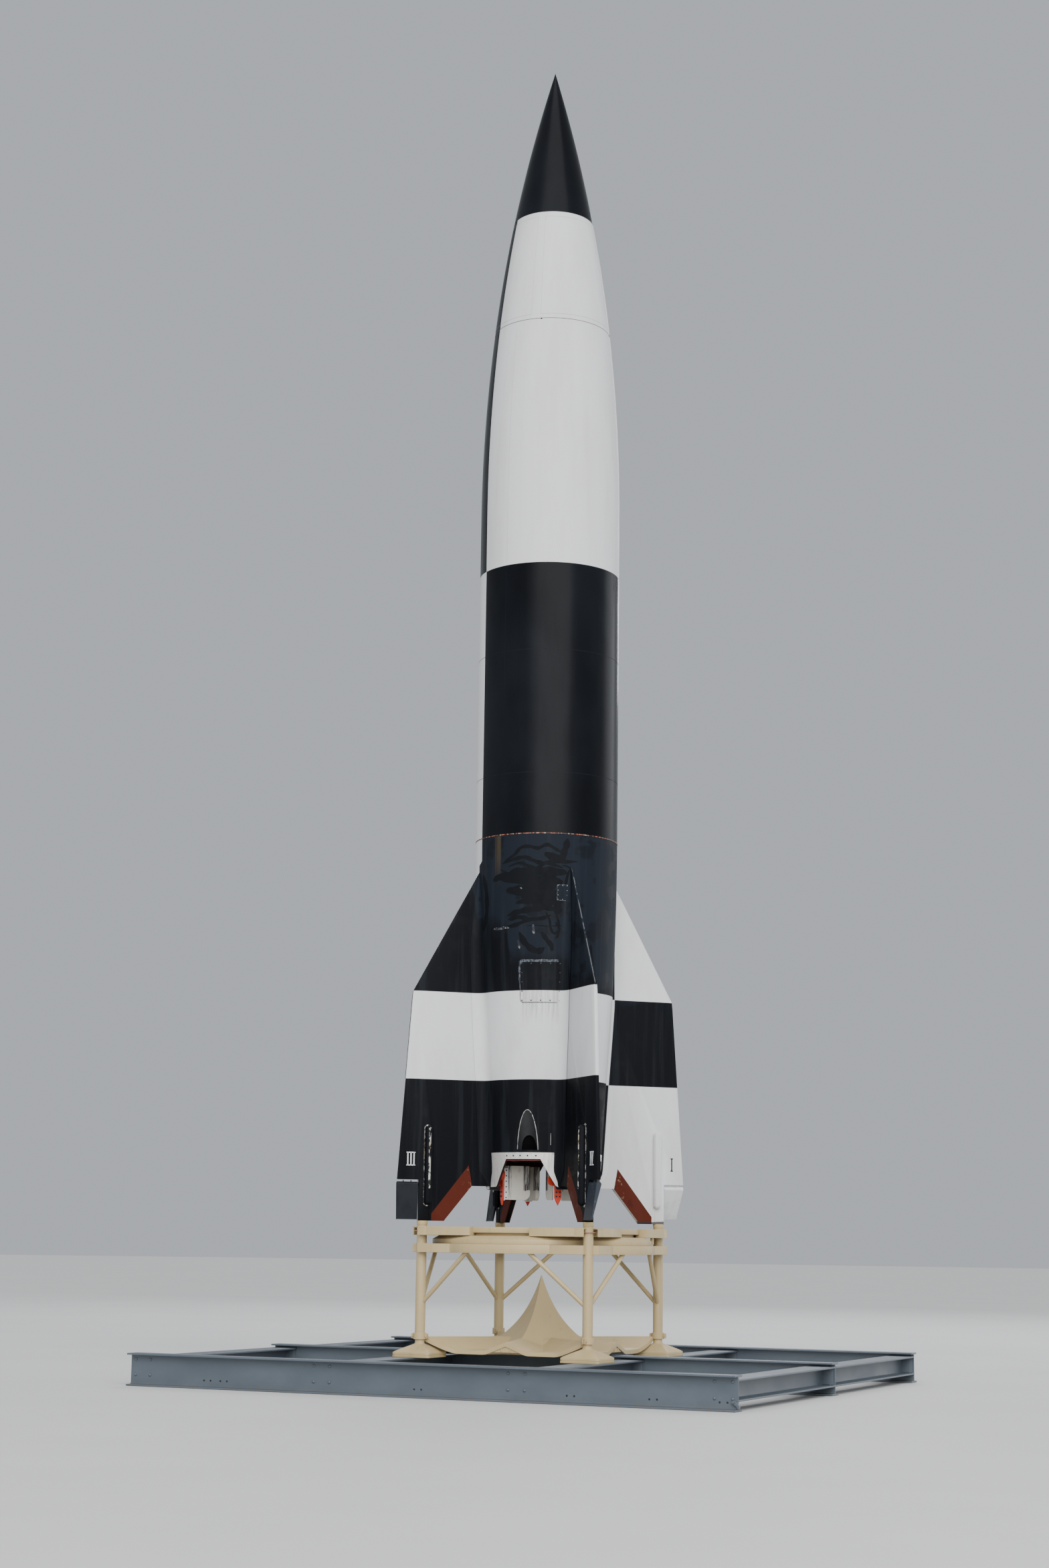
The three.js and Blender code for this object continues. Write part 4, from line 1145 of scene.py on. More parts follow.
def troughShell(lowest, radius, wall, side):
    # from the lower edge at each turn up to the skin, with a back wall
    turn = np.linspace(-side, side, 41)
    low = np.minimum(lowest(turn), troughTop(turn) - 0.0005)
    share = np.linspace(0, 1, 22)[:, None]
    height = low + (troughTop(turn) - low) * share
    front, back = troughPoints(turn[None], height, radius), troughPoints(turn[None], height, radius + wall)
    return band(np.concatenate([front, back[::-1]]))


def mouthEdge(turn):
    # the mouth's upper edge, half an ellipse over the turn
    return trough["low"] + (trough["mouthTop"] - trough["low"]) * np.sqrt(
        np.clip(1 - (turn / trough["mouthHalf"]) ** 2, 0, 1))


def makeTrough():
    radius, low = trough["radius"] - 0.001, trough["low"]
    shell = troughShell(mouthEdge, radius, trough["wall"], trough["side"])
    turn = np.linspace(-trough["side"], trough["side"], 25)
    rim = troughPoints(turn, np.full(25, low), radius + trough["wall"])[:, :2]
    floor = prism(rim[::-1], low - 0.006 + feetHeight, low + feetHeight)
    addPiece("exhaustTrough", [spun(shape, trough["angle"]) for shape in (shell, floor)], "pipe")
    # the wall behind the trough is painted near-black as the shade deep inside it
    back = troughShell(lambda t: np.full_like(t, low), radius + 0.022, 0.004, math.radians(58))
    addPiece("exhaustPipe", [spun(back, trough["angle"])], "mouth")
    turn = np.linspace(-trough["side"], trough["side"], 90)
    line = troughPoints(turn, troughTop(turn), trough["radius"] + 0.0015)
    line[:, 1] -= 0.0022
    size = 0.0036 + 0.0014 * np.sin(turn * 23) * np.sin(turn * 7 + 1) + 0.0012 * np.clip(np.sin(turn), 0, 1)
    addPiece("troughLip", [spun(tube(line, size, 8), trough["angle"])], "lip",
             crease=60)


def troughCutter():
    # the whole sheared cylinder as a closed mesh
    angles = np.linspace(0, 2 * math.pi, 72, endpoint=False)
    height = np.linspace(trough["low"], trough["top"] + 0.02, 24)[:, None]
    shape = spun(gridShape(troughPoints(angles[None], height, trough["radius"]), caps=True), trough["angle"])
    mesh = bpy.data.meshes.new("cutter")
    mesh.from_pydata(shape[0], [], shape[1].tolist() + shape[2])
    work = bmesh.new()
    work.from_mesh(mesh)
    bmesh.ops.recalc_face_normals(work, faces=work.faces)
    work.to_mesh(mesh)
    work.free()
    cutter = bpy.data.objects.new("cutter", mesh)
    bpy.context.scene.collection.objects.link(cutter)
    bpy.context.view_layer.update()
    return cutter


def tailLine(across, height, lift):
    # a point on the tail's front, from its distance across and its height
    radius = tailRadius(height) + lift
    return np.stack([across, -np.sqrt(radius ** 2 - across ** 2), height + feetHeight], axis=-1)


def skinNormals(places):
    # outward normals of the tail at points, tilted by the slope of its outline
    height = places[:, 2] - feetHeight
    slope = (tailRadius(height + 0.01) - tailRadius(height - 0.01)) / 0.02
    flat = places[:, :2] / np.linalg.norm(places[:, :2], axis=1, keepdims=True)
    return np.column_stack([flat, -slope])


def frameLines():
    # the window's edge and the frame's outline as matched corner points, from lower left to lower right
    w = windows
    inner = [(w["shift"] - w["sillHalf"] + 0.005, w["frameLow"]), (w["shift"] - w["kneeHalf"], w["knee"]),
             (w["shift"] - w["headHalf"], w["head"]), (w["shift"] + w["headHalf"], w["head"]),
             (w["shift"] + w["kneeHalf"], w["knee"]), (w["shift"] + w["sillHalf"] - 0.0001, w["frameLow"])]
    outer = [(-w["frameBottom"], w["frameLow"]), (-w["frameBottom"] + 0.001, w["knee"] + 0.01),
             (-w["frameTop"], w["frameHead"]), (w["frameTop"], w["frameHead"]),
             (w["frameBottom"] - 0.0015, w["knee"] + 0.01), (w["frameBottom"] + 0.0015, w["frameLow"])]
    steps = np.array([0, 1, 8, 15, 22, 23])
    u = np.linspace(0, 23, 139)
    return [np.column_stack([np.interp(u, steps, np.array(line)[:, k]) for k in (0, 1)])
            for line in (inner, outer)]


def windowFrame(turn):
    # a sheet between the window's edge and the frame's outline, its edges a little rounded
    inner, outer = frameLines()
    v = np.array([0, 0.012, 0.25, 0.5, 0.75, 0.988, 1])[:, None, None]
    flat = inner * (1 - v) + outer * v
    lift = np.where((v == 0) | (v == 1), 0.0042, 0.0063)[..., 0]
    outside = tailLine(flat[..., 0], flat[..., 1], lift)
    inside = tailLine(flat[..., 0], flat[..., 1], 0.0004)
    return spun(band(np.concatenate([outside, inside[::-1]])), turn)


def windowLintel(turn):
    # the red edge of the skirt's inner ring, seen under the frame's head
    w = windows
    across = w["shift"] + np.linspace(-1, 1, 21) * (w["headHalf"] + 0.012)
    low, high = np.full(21, w["head"] - w["lintel"]), np.full(21, w["head"] + 0.006)
    loops = [tailLine(across, height, depth) for height, depth in
             ((low, -0.010), (low, -0.016), (high, -0.016), (high, -0.010))]
    return spun(band(np.stack(loops)), turn)


def windowShadeSheet(turn):
    # a sheet of painted shade behind a side frame, from the window's edge to the middle line: it stands in
    # for the shaded inside of an opening
    inner = frameLines()[0]
    middle = np.column_stack([np.full(len(inner), windows["shift"]), inner[:, 1]])
    v = np.linspace(0, 1, 9)[:, None, None]
    flat = (inner + (inner - middle) * 0.02) * (1 - v) + middle * v
    outside = tailLine(flat[..., 0], flat[..., 1], 0.0022)
    inside = tailLine(flat[..., 0], flat[..., 1], 0.0)
    return spun(band(np.concatenate([outside, inside[::-1]]), sides=False), turn)


# Dark paint brushed over the faded tail: a width, then places as (degrees, height) along each stroke
brushMarks = [
    (0.045, [(-101, 4.03), (-92, 4.10), (-86, 4.18), (-79, 4.19), (-72, 4.17), (-65, 4.21), (-58, 4.16),
             (-53, 4.12)]),
    (0.050, [(-103, 4.01), (-92, 4.05), (-83, 4.07), (-76, 4.03), (-69, 4.00), (-60, 4.015), (-50, 4.02),
             (-40, 4.03)]),
    (0.038, [(-97, 3.97), (-87, 4.005), (-79, 3.966), (-73, 3.944), (-66, 3.993), (-58, 3.974), (-52, 3.95)]),
    (0.095, [(-67, 4.11), (-60, 4.07), (-52, 4.06)]),
    (0.085, [(-48.5, 4.285), (-49.7, 4.20), (-51.6, 4.116), (-52.5, 4.00)]),
    (0.026, [(-53, 3.98), (-48.5, 3.967), (-45.4, 3.93), (-47.4, 3.892), (-54, 3.881), (-62, 3.883),
             (-70, 3.875)]),
    (0.014, [(-105, 3.945), (-98, 3.904), (-88, 3.868), (-85, 3.825)]),
    (0.115, [(-113, 3.83), (-103, 3.86), (-89, 3.813), (-76, 3.807), (-64, 3.807), (-57, 3.837)]),
    (0.125, [(-99, 3.70), (-89, 3.69), (-78, 3.70), (-68, 3.724), (-58, 3.713)]),
    (0.085, [(-90, 3.55), (-79, 3.575), (-69, 3.56), (-62, 3.575), (-54, 3.524)]),
    (0.075, [(-98, 3.41), (-89, 3.443), (-81, 3.466), (-73, 3.478), (-65, 3.492), (-57, 3.467)]),
    (0.050, [(-104, 3.25), (-96, 3.283), (-89, 3.306), (-79, 3.356), (-69, 3.369), (-61, 3.41)]),
    (0.055, [(-97, 3.366), (-88, 3.387), (-79, 3.37)]),
    (0.010, [(-81, 3.289), (-71, 3.287), (-62, 3.282), (-54, 3.292), (-48, 3.296)]),
    (0.030, [(-65.4, 3.44), (-62.5, 3.356), (-61.4, 3.261), (-58.5, 3.201), (-54.6, 3.251), (-55.7, 3.36),
             (-57.7, 3.44)]),
    (0.034, [(-57.6, 3.33), (-54.6, 3.264), (-55.5, 3.182), (-57.6, 3.14)]),
    (0.080, [(-87, 3.22), (-83, 3.11), (-77, 3.03), (-71, 3.00), (-66, 3.04)]),
    (0.060, [(-69, 3.22), (-65, 3.14), (-61, 3.07), (-60, 3.00)]),
    (0.120, [(-96, 3.905), (-84, 3.90), (-72, 3.905), (-60, 3.90), (-49, 3.90)]),
    (0.120, [(-84, 3.76), (-74, 3.765), (-63, 3.77), (-52, 3.79)]),
    (0.130, [(-86, 3.63), (-75, 3.635), (-64, 3.64), (-55, 3.62)]),
    (0.110, [(-76, 3.53), (-68, 3.53), (-60, 3.54)]),
    (0.110, [(-46.5, 3.93), (-47, 3.76), (-46, 3.58), (-48.5, 3.40)]),
    (0.120, [(-57, 3.70), (-56.5, 3.55), (-55.5, 3.42)]),
    (0.080, [(-127, 3.92), (-122, 3.73), (-121, 3.53), (-123, 3.37), (-127, 3.27)]),
    (0.060, [(-32, 3.20), (-31, 3.04), (-29, 2.86), (-31, 2.70)]),
    (0.045, [(-26, 3.10), (-24.5, 2.95), (-22.5, 2.76)]),
]


# Bare chips in the tail's paint, as such strokes
chipMarks = [
    (0.034, [(-112, 3.272), (-106, 3.268), (-101, 3.276), (-96, 3.270)]),
    (0.030, [(-75.6, 3.30), (-75.2, 3.255), (-74.8, 3.19)]),
    (0.030, [(-88.3, 3.13), (-87.4, 3.085), (-86.6, 3.03)]),
    (0.016, [(-86.4, 3.722), (-85.6, 3.716), (-84.8, 3.71)]),
]


def brushMark(number, width, places):
    # a thin ribbon on the tail: a smooth curve through the places with a wavering width
    places = np.array(places, float) * [math.pi / 180 * body["radius"], 1]
    slopes = np.gradient(places, axis=0)
    t = np.linspace(0, len(places) - 1.001, 12 * len(places))
    i, u = t.astype(int), (t - t.astype(int))[:, None]
    path = ((2 * u ** 3 - 3 * u ** 2 + 1) * places[i] + (u ** 3 - 2 * u ** 2 + u) * slopes[i]
            + (3 * u ** 2 - 2 * u ** 3) * places[i + 1] + (u ** 3 - u ** 2) * slopes[i + 1])
    along = np.gradient(path, axis=0)
    along /= np.linalg.norm(along, axis=1, keepdims=True)
    across = np.stack([-along[:, 1], along[:, 0]], axis=1)
    share = t / t[-1]
    half = width / 2 * (0.86 + 0.14 * np.sin(t * 5.3 + number)) * (1 - np.abs(2 * share - 1) ** 6 * 0.85)
    k = np.linspace(-1, 1, 9)[:, None, None]
    flat = path + k * (across * half[:, None])
    turn, height = flat[..., 0] / body["radius"], flat[..., 1]
    lift = 0.0005 + 0.00004 * number
    outside, inside = (skinPoints(tailRadius, turn, height, depth) for depth in (lift, -0.002))
    return band(np.concatenate([outside, inside[::-1]]))


hatch = {"angle": -math.pi / 2 + math.radians(21.1), "half": 0.23, "low": 2.43, "high": 2.88, "radius": 0.777,
         "border": 0.006, "screws": (0.213, 2.448, 0.414)}
plates = {"upper": math.radians(-52.2), "lower": math.radians(-53), "half": 0.062, "rivet": 0.052,
          "rows": [3.588, 3.638, 3.692, 3.745], "chip": math.radians(-58.3)}


def makeWindows():
    sides = (-math.pi / 2, math.pi / 2)
    for name, turn in (("Front", 0), ("Back", math.pi)):
        addPiece(f"windowFrame{name}", [windowFrame(turn)], "aluminium",
                 [f"window_frame_{name.lower()}"])
    addPiece("windowLintels", [windowLintel(turn) for turn in (0, math.pi)], "lintel")
    addPiece("sideFrames", [windowFrame(turn) for turn in sides], "aluminium")
    # behind the side frames, near-black sheets of painted shade stand in for openings
    addPiece("sideWindowShade", [windowShadeSheet(turn) for turn in sides], "dark")
    # the frames' holes are discs of painted shade
    holes = tailLine(np.array([-0.147, -0.06, 0.025, 0.112, 0.205]), np.full(5, 0.727), 0.0066)
    ring = scatter(holeShadeDisc(0.0095, 0.0006), holes, skinNormals(holes))
    addPiece("frameHoles", [spun(ring, turn) for turn in (0, math.pi, *sides)], "dark")


def makeHatch():
    angle, half, low, high, radius, border = (hatch[key] for key in
                                              ("angle", "half", "low", "high", "radius", "border"))
    across, bottom, rise = hatch["screws"]
    outline = rectangle(angle, half, low, high, radius, 0.04)
    cover = surfacePlate(outline, tailRadius, 0.006, 0.0015, 10, 0.0002)
    addPiece("hatchCover", [cover], "tail", ["hatch_cover"])
    outline = rectangle(angle, half + border, low - border, high + border, radius, 0.045)
    addPiece("hatchEdge", [ribbon(outline, tailRadius, 0.0013, 0.007)], "chalkLine")
    left, right = math.degrees(angle) - 17.7, math.degrees(angle) + 17.7
    scuff = [(left, 2.59), (left, 2.68), (left, 2.77), (left + 0.3, 2.86), (left + 1.4, 2.889),
             (left + 5, 2.893), (left + 12, 2.89), (left + 20, 2.892), (left + 28, 2.89), (right - 3, 2.893),
             (right - 0.6, 2.88), (right, 2.84), (right + 0.1, 2.76), (right, 2.68), (right, 2.59)]
    addPiece("hatchScuff", [brushMark(9, 0.038, scuff)], "scuffed", crease=60)
    x = np.array([-1, -0.5, 0, 0.5, 1, 1, 1, 1, 1, 0.5, 0, -0.5, -1, -1, -1, -1]) * across
    z = np.array([0, 0, 0, 0, 0, 0.25, 0.5, 0.75, 1, 1, 1, 1, 1, 0.75, 0.5, 0.25]) * rise + bottom
    places, normals = onSurface(angle + x / radius, z, tailRadius, 0.0058)
    addPiece("hatchScrews", [scatter(domeHead(0.0085, 0.0035), places, normals)], "screw")


def makeTailDetails():
    half, rivet = plates["half"], plates["rivet"]
    upper = rectangle(plates["upper"], half, 3.578, 3.755, 0.81, 0.008, 4)
    lower = rectangle(plates["lower"], half, 0.84, 0.98, 0.69, 0.006, 4)
    shapes = [surfacePlate(upper, tailRadius, 0.003, 0.001, 3),
              surfacePlate(lower, tailRadius, 0.0035, 0.001, 3)]
    addPiece("smallPlates", shapes, "tail")
    addPiece("smallPlateEdges", [ribbon(upper, tailRadius, 0.0034, 0.004)], "chalkLine")
    x, z = np.tile([-rivet, 0, rivet], 4), np.repeat(plates["rows"], 3)
    keep = (np.abs(x) > 0.01) | (z < 3.6) | (z > 3.74)
    places, normals = onSurface(plates["upper"] + x[keep] / 0.81, z[keep], tailRadius, 0.003)
    rivets = scatter(domeHead(0.006, 0.003, 8), places, normals)
    addPiece("smallPlateRivets", [rivets], "chalky")
    height = np.linspace(0.845, 0.975, 14)
    line = skinPoints(tailRadius, plates["chip"], height, 0.0035)
    addPiece("smallPlateChip", [tube(line, 0.003, 6)], "lip")
    marks = [brushMark(i, *mark) for i, mark in enumerate(brushMarks)]
    addPiece("brushMarks", marks, "overpaint", crease=60)
    chips = [brushMark(i + 30, *mark) for i, mark in enumerate(chipMarks)]
    addPiece("paintChips", chips, "chipped", crease=60)


makeTail()
makeTrough()
makeWindows()
makeHatch()
makeTailDetails()
print("tail made")


# Fins, with their root fillets, fairings and numerals

def rootFillet(side):
    # at each height a curve that leaves the fin's face and lands on the tail
    z = np.linspace(*fins["filletSpan"], 72)
    radius = tailRadius(z)
    half = np.interp(z, fins["rootHeights"], fins["rootHalf"]) + 0.0006
    reach = fins["fillet"] * np.clip((3.95 - z) / 0.9, 0.02, 1) ** 0.7 * np.clip((z - 0.36) / 0.2, 0.1, 1)
    root = np.sqrt(radius ** 2 - half ** 2)
    start = np.column_stack([root + reach, half])
    turn = np.arcsin(half / radius) + reach / radius
    end = np.column_stack([(radius + 0.0006) * np.cos(turn), (radius + 0.0006) * np.sin(turn)])
    corner = np.column_stack([root, half])
    t = np.linspace(0, 1, 9)[:, None, None]
    curve = (1 - t) ** 2 * start + 2 * t * (1 - t) * corner + t ** 2 * end
    inner = np.column_stack([root - 0.006, half - 0.012])[None]
    section = np.concatenate([curve, inner]) * [1, side]
    heights = np.broadcast_to(z + feetHeight, section.shape[:2])
    points = np.concatenate([section, heights[..., None]], axis=2).transpose(1, 0, 2)
    return gridShape(points, caps=True)


def stadium(half):
    # an upright outline with round ends in (across, up)
    f = fins
    t = np.linspace(0, math.pi, 17)
    low, high = f["fairingLow"] + f["flangeHalf"] - 0.012, f["fairingHigh"] - f["flangeHalf"] + 0.012
    radius = max(half, 1e-4)
    top = np.column_stack([radius * np.cos(t), high + radius * np.sin(t)])
    side = np.column_stack([np.full(20, -radius), np.linspace(high, low, 22)[1:-1]])
    bottom = np.column_stack([-radius * np.cos(t), low - radius * np.sin(t)])
    return np.concatenate([top, side, bottom, side[::-1] * [-1, 1]])


def fairing(side):
    # loops that shrink towards the middle line: a flange, a small fillet and a half-oval ridge, which
    # sinks to the flange over its lowest part
    f = fins
    across = np.concatenate([[f["flangeHalf"], f["flangeHalf"], 0.047, 0.0375, f["fairingHalf"]],
                             f["fairingHalf"] * np.cos(np.linspace(0.12, math.pi / 2, 9))])
    base = f["finFace"] + 0.0035
    ridge = np.sqrt(np.clip(1 - (across[5:] / f["fairingHalf"]) ** 2, 0, 1))
    rows = []
    for i, half in enumerate(across):
        outline = stadium(half)
        height = outline[:, 1] - f["fairingLow"]
        fade = np.clip((height - 0.045) / 0.13, 0, 1)
        fade = fade * fade * (3 - 2 * fade)
        if i == 0:
            out = np.full(len(outline), f["finFace"] - 0.006)
        elif i < 4:
            out = np.full(len(outline), base - (0.001 if i == 1 else 0) + (0.001 if i == 3 else 0))
        else:
            rise = 0.10 if i == 4 else ridge[i - 5]
            out = base + 0.001 + (f["fairingTop"] - base - 0.001) * rise * np.maximum(fade, 0.06)
        place, up = f["fairingPlace"] + outline[:, 0], outline[:, 1] + feetHeight
        rows.append(np.column_stack([place, side * out, up]))
    return gridShape(np.stack(rows), caps=True)


def fairingRivets(side):
    # two upright rows of rivets on the fairing's flange
    f = fins
    heights = np.arange(f["fairingLow"] + 0.03, f["fairingHigh"] - 0.02, 0.036) + feetHeight
    places = [(f["fairingPlace"] + edge * 0.0425, side * (f["finFace"] + 0.0034), z)
              for edge in (-1, 1) for z in heights]
    return scatter(domeHead(0.0032, 0.0018, 6), places, [(0, side, 0)] * len(places))


numerals = {1: "I", 2: "II", 3: "III", 4: "IV"}
numeralShape = {"height": 0.152, "stroke": 0.0142, "pitch": 0.036, "serif": 0.012, "z": 0.603, "place": 1.585}


def numeralStrokes(text):
    # upright and slanted bars with serif bars above and below, as quads in (across, up)
    n = numeralShape
    high, stroke = n["height"], n["stroke"]
    bars, x = [], 0.0
    for letter in text:
        if letter == "I":
            left, right = x - stroke / 2, x + stroke / 2
            bars.append([(left, 0), (right, 0), (right, high), (left, high)])
            x += n["pitch"]
        else:
            mid = x + 0.012
            for lean, wide in ((-1, 0.7), (1, 1.0)):
                tip = mid + lean * 0.026
                w = stroke * wide / 2
                bars.append([(mid - w, 0), (mid + w, 0), (tip + w, high), (tip - w, high)])
            x += n["pitch"] + 0.03
    left = min(p[0] for bar in bars for p in bar) - 0.008
    right = max(p[0] for bar in bars for p in bar) + 0.008
    for low in (0, high - n["serif"]):
        bars.append([(left, low), (right, low), (right, low + n["serif"]), (left, low + n["serif"])])
    middle = (left + right) / 2
    return [[(px - middle, py) for px, py in bar] for bar in bars]


def numeralOnFin(text, side):
    # a thin painted mark on one face of the fin, readable from that side
    n = numeralShape
    z = n["z"] + feetHeight
    face = np.interp(n["place"], [0.5, 1.68], [0.0445, 0.0285])
    shapes = []
    for bar in numeralStrokes(text):
        outline = np.array([(n["place"] + side * -px, z + py) for px, py in bar])
        if side > 0:
            outline = outline[::-1]
        low, high = sorted((side * (face - 0.004), side * (face + 0.0018)))
        shapes.append(prism(outline, low, high, 0, "xzy"))
    return shapes


def makeFins():
    for number, angle in enumerate(diagonals, 1):
        skin = {1: "finOne", 2: "finTwo"}.get(number, "fin")
        blade = refinedCopy(f"fin{number}", f"fin_{number}", 0.004, 2)
        finishPiece(blade, skin, [f"fin_{number}"], crease=40)
        fillets = [spun(rootFillet(side), angle) for side in (-1, 1)]
        addPiece(f"finRoot{number}", fillets, "rootOne" if number == 1 else "tail", crease=75)
        rivets = [spun(fairingRivets(side), angle) for side in (-1, 1)]
        addPiece(f"finFairingRivets{number}", rivets, skin)
        for side, name in ((-1, "Left"), (1, "Right")):
            # fin 1 is white low down, and so is the left face of fin 3
            pale = number == 1 or (number, side) == (3, -1)
            worn, mark = ("fairingWhite", "markBlack") if pale else ("fairingDark", "markWhite")
            addPiece(f"finFairing{name}{number}", [spun(fairing(side), angle)], worn)
            shapes = [spun(shape, angle) for shape in numeralOnFin(numerals[number], side)]
            addPiece(f"finNumeral{name}{number}", shapes, mark)


makeFins()
print("fins made")


# Air rudders on their shafts, each turned about its shaft by its own angle
rudders = {"inner": 1.492, "outer": 1.735, "pivot": 0.40, "bottom": 0.012, "nose": 0.028, "tail": 0.009,
           "turns": [29, 10, 0, -12], "shaft": 0.0148}


def rudderShape():
    # a blade with a round nose at its pivot, thinning towards its trailing edge
    r = rudders
    t = np.linspace(0, math.pi, 20)
    nose = np.column_stack([r["nose"] * np.cos(t), r["nose"] * np.sin(t)])
    low = r["bottom"] - r["pivot"]
    tail = softCorners([(-r["tail"], low), (r["tail"], low)], 0.003, 3)
    outline = np.concatenate([tail, nose])
    blade = prism(outline, r["inner"], r["outer"], 0.004, "yzx")
    shaft = tube([(1.402, 0, 0), (1.45, 0, 0), (r["inner"] + 0.03, 0, 0)], r["shaft"], 24)
    pins = [tube([(x, 0, 0.02), (x, 0, 0.035), (x, 0, 0.043)], 0.006, 10) for x in (1.57, 1.66)]
    return [blade, shaft, *pins]


def makeRudders():
    for number, (angle, turn) in enumerate(zip(diagonals, rudders["turns"]), 1):
        c, s = math.cos(math.radians(turn)), math.sin(math.radians(turn))
        tilt = np.array([[1, 0, 0], [0, c, s], [0, -s, c]])
        lift = [0, 0, rudders["pivot"] + feetHeight]
        shapes = [spun((shape[0] @ tilt + lift, shape[1], shape[2]), angle) for shape in rudderShape()]
        skin = {1: "rudderWhite", 4: "rudderWorn"}.get(number, "rudderDark")
        addPiece(f"airRudder{number}", shapes, skin, [f"air_rudder_{number}"],
                 f"rudder_{number}")


# Jet vane holders: a pointed red bracket with a cheek, and the pale plate with a strip at its outer edge
vanes = {"shaftHeight": 0.52, "shaft": 0.0198, "tip": 0.185, "shoulder": 0.265, "top": 0.50, "half": 0.041,
         "cheekSide": -0.065, "cheekHeight": 0.46, "cheek": 0.058, "boss": 0.062, "back": 0.4725,
         "inner": 0.165, "plateLow": 0.252, "plateTop": 0.622, "plateHalf": 0.024, "corner": 0.07,
         "stripHalf": 0.0265}


def vaneDisc(reaches, radii, side, height):
    # a round part on the line out from the axis, with a radius at each reach
    return tube([(reach, side, height + feetHeight) for reach in reaches], radii, 32)


def vaneRed():
    # an arrow-shaped plate with two round parts and the shaft
    v, z = vanes, feetHeight
    arrow = softCorners([(-v["half"], v["shoulder"]), (0, v["tip"]), (v["half"], v["shoulder"]),
                         (v["half"], v["top"]), (-v["half"], v["top"])], 0.004, 3)
    bracket = prism(arrow + [0, z], 0.477, 0.498, 0.003, "yzx")
    cheek = vaneDisc((0.477, 0.49, 0.499, 0.502), [v["cheek"]] * 3 + [v["cheek"] - 0.004], v["cheekSide"],
                     v["cheekHeight"])
    boss = vaneDisc((0.477, 0.5, 0.557, 0.56), [v["boss"]] * 3 + [v["boss"] - 0.004], 0, v["shaftHeight"])
    shaft = tube([(reach, 0, v["shaftHeight"] + z) for reach in (0.5, 0.6, 0.704)], v["shaft"], 24)
    return [bracket, cheek, boss, shaft]


def vaneBolts():
    # four bolts on the bracket and a circle of six on the round part over the shaft
    places = [(0.4985, side * 0.020, z + feetHeight) for side in (-1, 1) for z in (0.285, 0.332)]
    places += [(0.5595, 0.036 * math.cos(a), vanes["shaftHeight"] + feetHeight + 0.036 * math.sin(a))
               for a in np.linspace(0, 2 * math.pi, 6, endpoint=False)]
    return scatter(hexHead(0.0105, 0.006), places, [(1, 0, 0)] * len(places))


def vanePlate():
    # the upright plate stands in the jet; its lower inner corner is cut off round
    v = vanes
    t = np.linspace(0, math.pi / 2, 7)
    corner = np.column_stack([v["inner"] + v["corner"] * (1 - np.sin(t)), 0.32 - v["corner"] * np.cos(t)])
    outline = np.concatenate([[(v["back"], v["plateLow"]), (v["back"], v["plateTop"]),
                               (v["inner"], v["plateTop"])], corner[::-1]])
    return prism(outline[::-1] + [0, feetHeight], -v["plateHalf"], v["plateHalf"], 0.004, "xzy")


def vaneStrip():
    # the strip on the plate's outer edge with its rivets, and the backing behind the bracket
    z, half = feetHeight, vanes["stripHalf"]
    strip = block((0.426, 0.4732), (-half, half), (0.250 + z, 0.600 + z), 0.002)
    backing = block((vanes["back"], 0.4775), (-0.049, 0.049), (0.238 + z, 0.498 + z), 0.001)
    sides = [(side, i) for side in (-1, 1) for i in range(6)]
    places = [(0.449, side * half, 0.270 + 0.061 * i + z) for side, i in sides]
    rivets = scatter(domeHead(0.0085, 0.003, 10), places, [(0, side, 0) for side, i in sides])
    return [strip, backing], rivets


def makeVanes():
    (strips, rivets), red, bolts, plate = vaneStrip(), vaneRed(), vaneBolts(), vanePlate()
    for number, angle in enumerate(diagonals, 1):
        moving = f"vane_{number}"
        addPiece(f"vaneHolder{number}", [spun(shape, angle) for shape in red], "red",
                 [f"jet_vane_{number}"], moving)
        addPiece(f"vanePlate{number}", [spun(plate, angle)], "vanePlate", body=moving)
        addPiece(f"vaneStrip{number}", [spun(shape, angle) for shape in strips], "vaneStrip",
                 body=moving)
        addPiece(f"vaneFasteners{number}", [spun(bolts, angle), spun(rivets, angle)], "steel",
                 body=moving)


engine = {"outline": [(0.68, 0.370), (0.79, 0.355), (0.94, 0.300), (1.08, 0.200), (1.1497, 0.200)],
          "thick": 0.016, "throat": 0.12, "throatLow": 1.09}


def makeEngine():
    # the bell inside the skirt, a straight-sided curve through its outline
    height, radius = np.array(engine["outline"]).T
    z = np.linspace(height[0], height[-1], 28)
    outside = np.interp(z, height, radius)
    outer = np.column_stack([outside, z + feetHeight])
    inner = np.column_stack([outside[:20] - engine["thick"], z[:20] + feetHeight])[::-1]
    throat = [(engine["throat"], z[-1] + feetHeight), (engine["throat"], engine["throatLow"] + feetHeight)]
    bell = lathe(np.concatenate([outer, throat, inner]), 96, closed=True)
    addPiece("nozzleBell", [bell], "steel", ["nozzle"])
    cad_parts["engine_block"].data.materials.clear()
    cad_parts["engine_block"].data.materials.append(materials["steel"])


makeRudders()
makeVanes()
makeEngine()
print("rudders, vanes and nozzle made")


# Camera where the photograph was taken, plain floor, soft light
view = {"place": (11.654, -25.526, 1.584), "focal": 3636.8, "imageHeight": 2343, "pitch": 10.607,
        "roll": 0.762, "yaw": -0.544, "turn": 24.54}


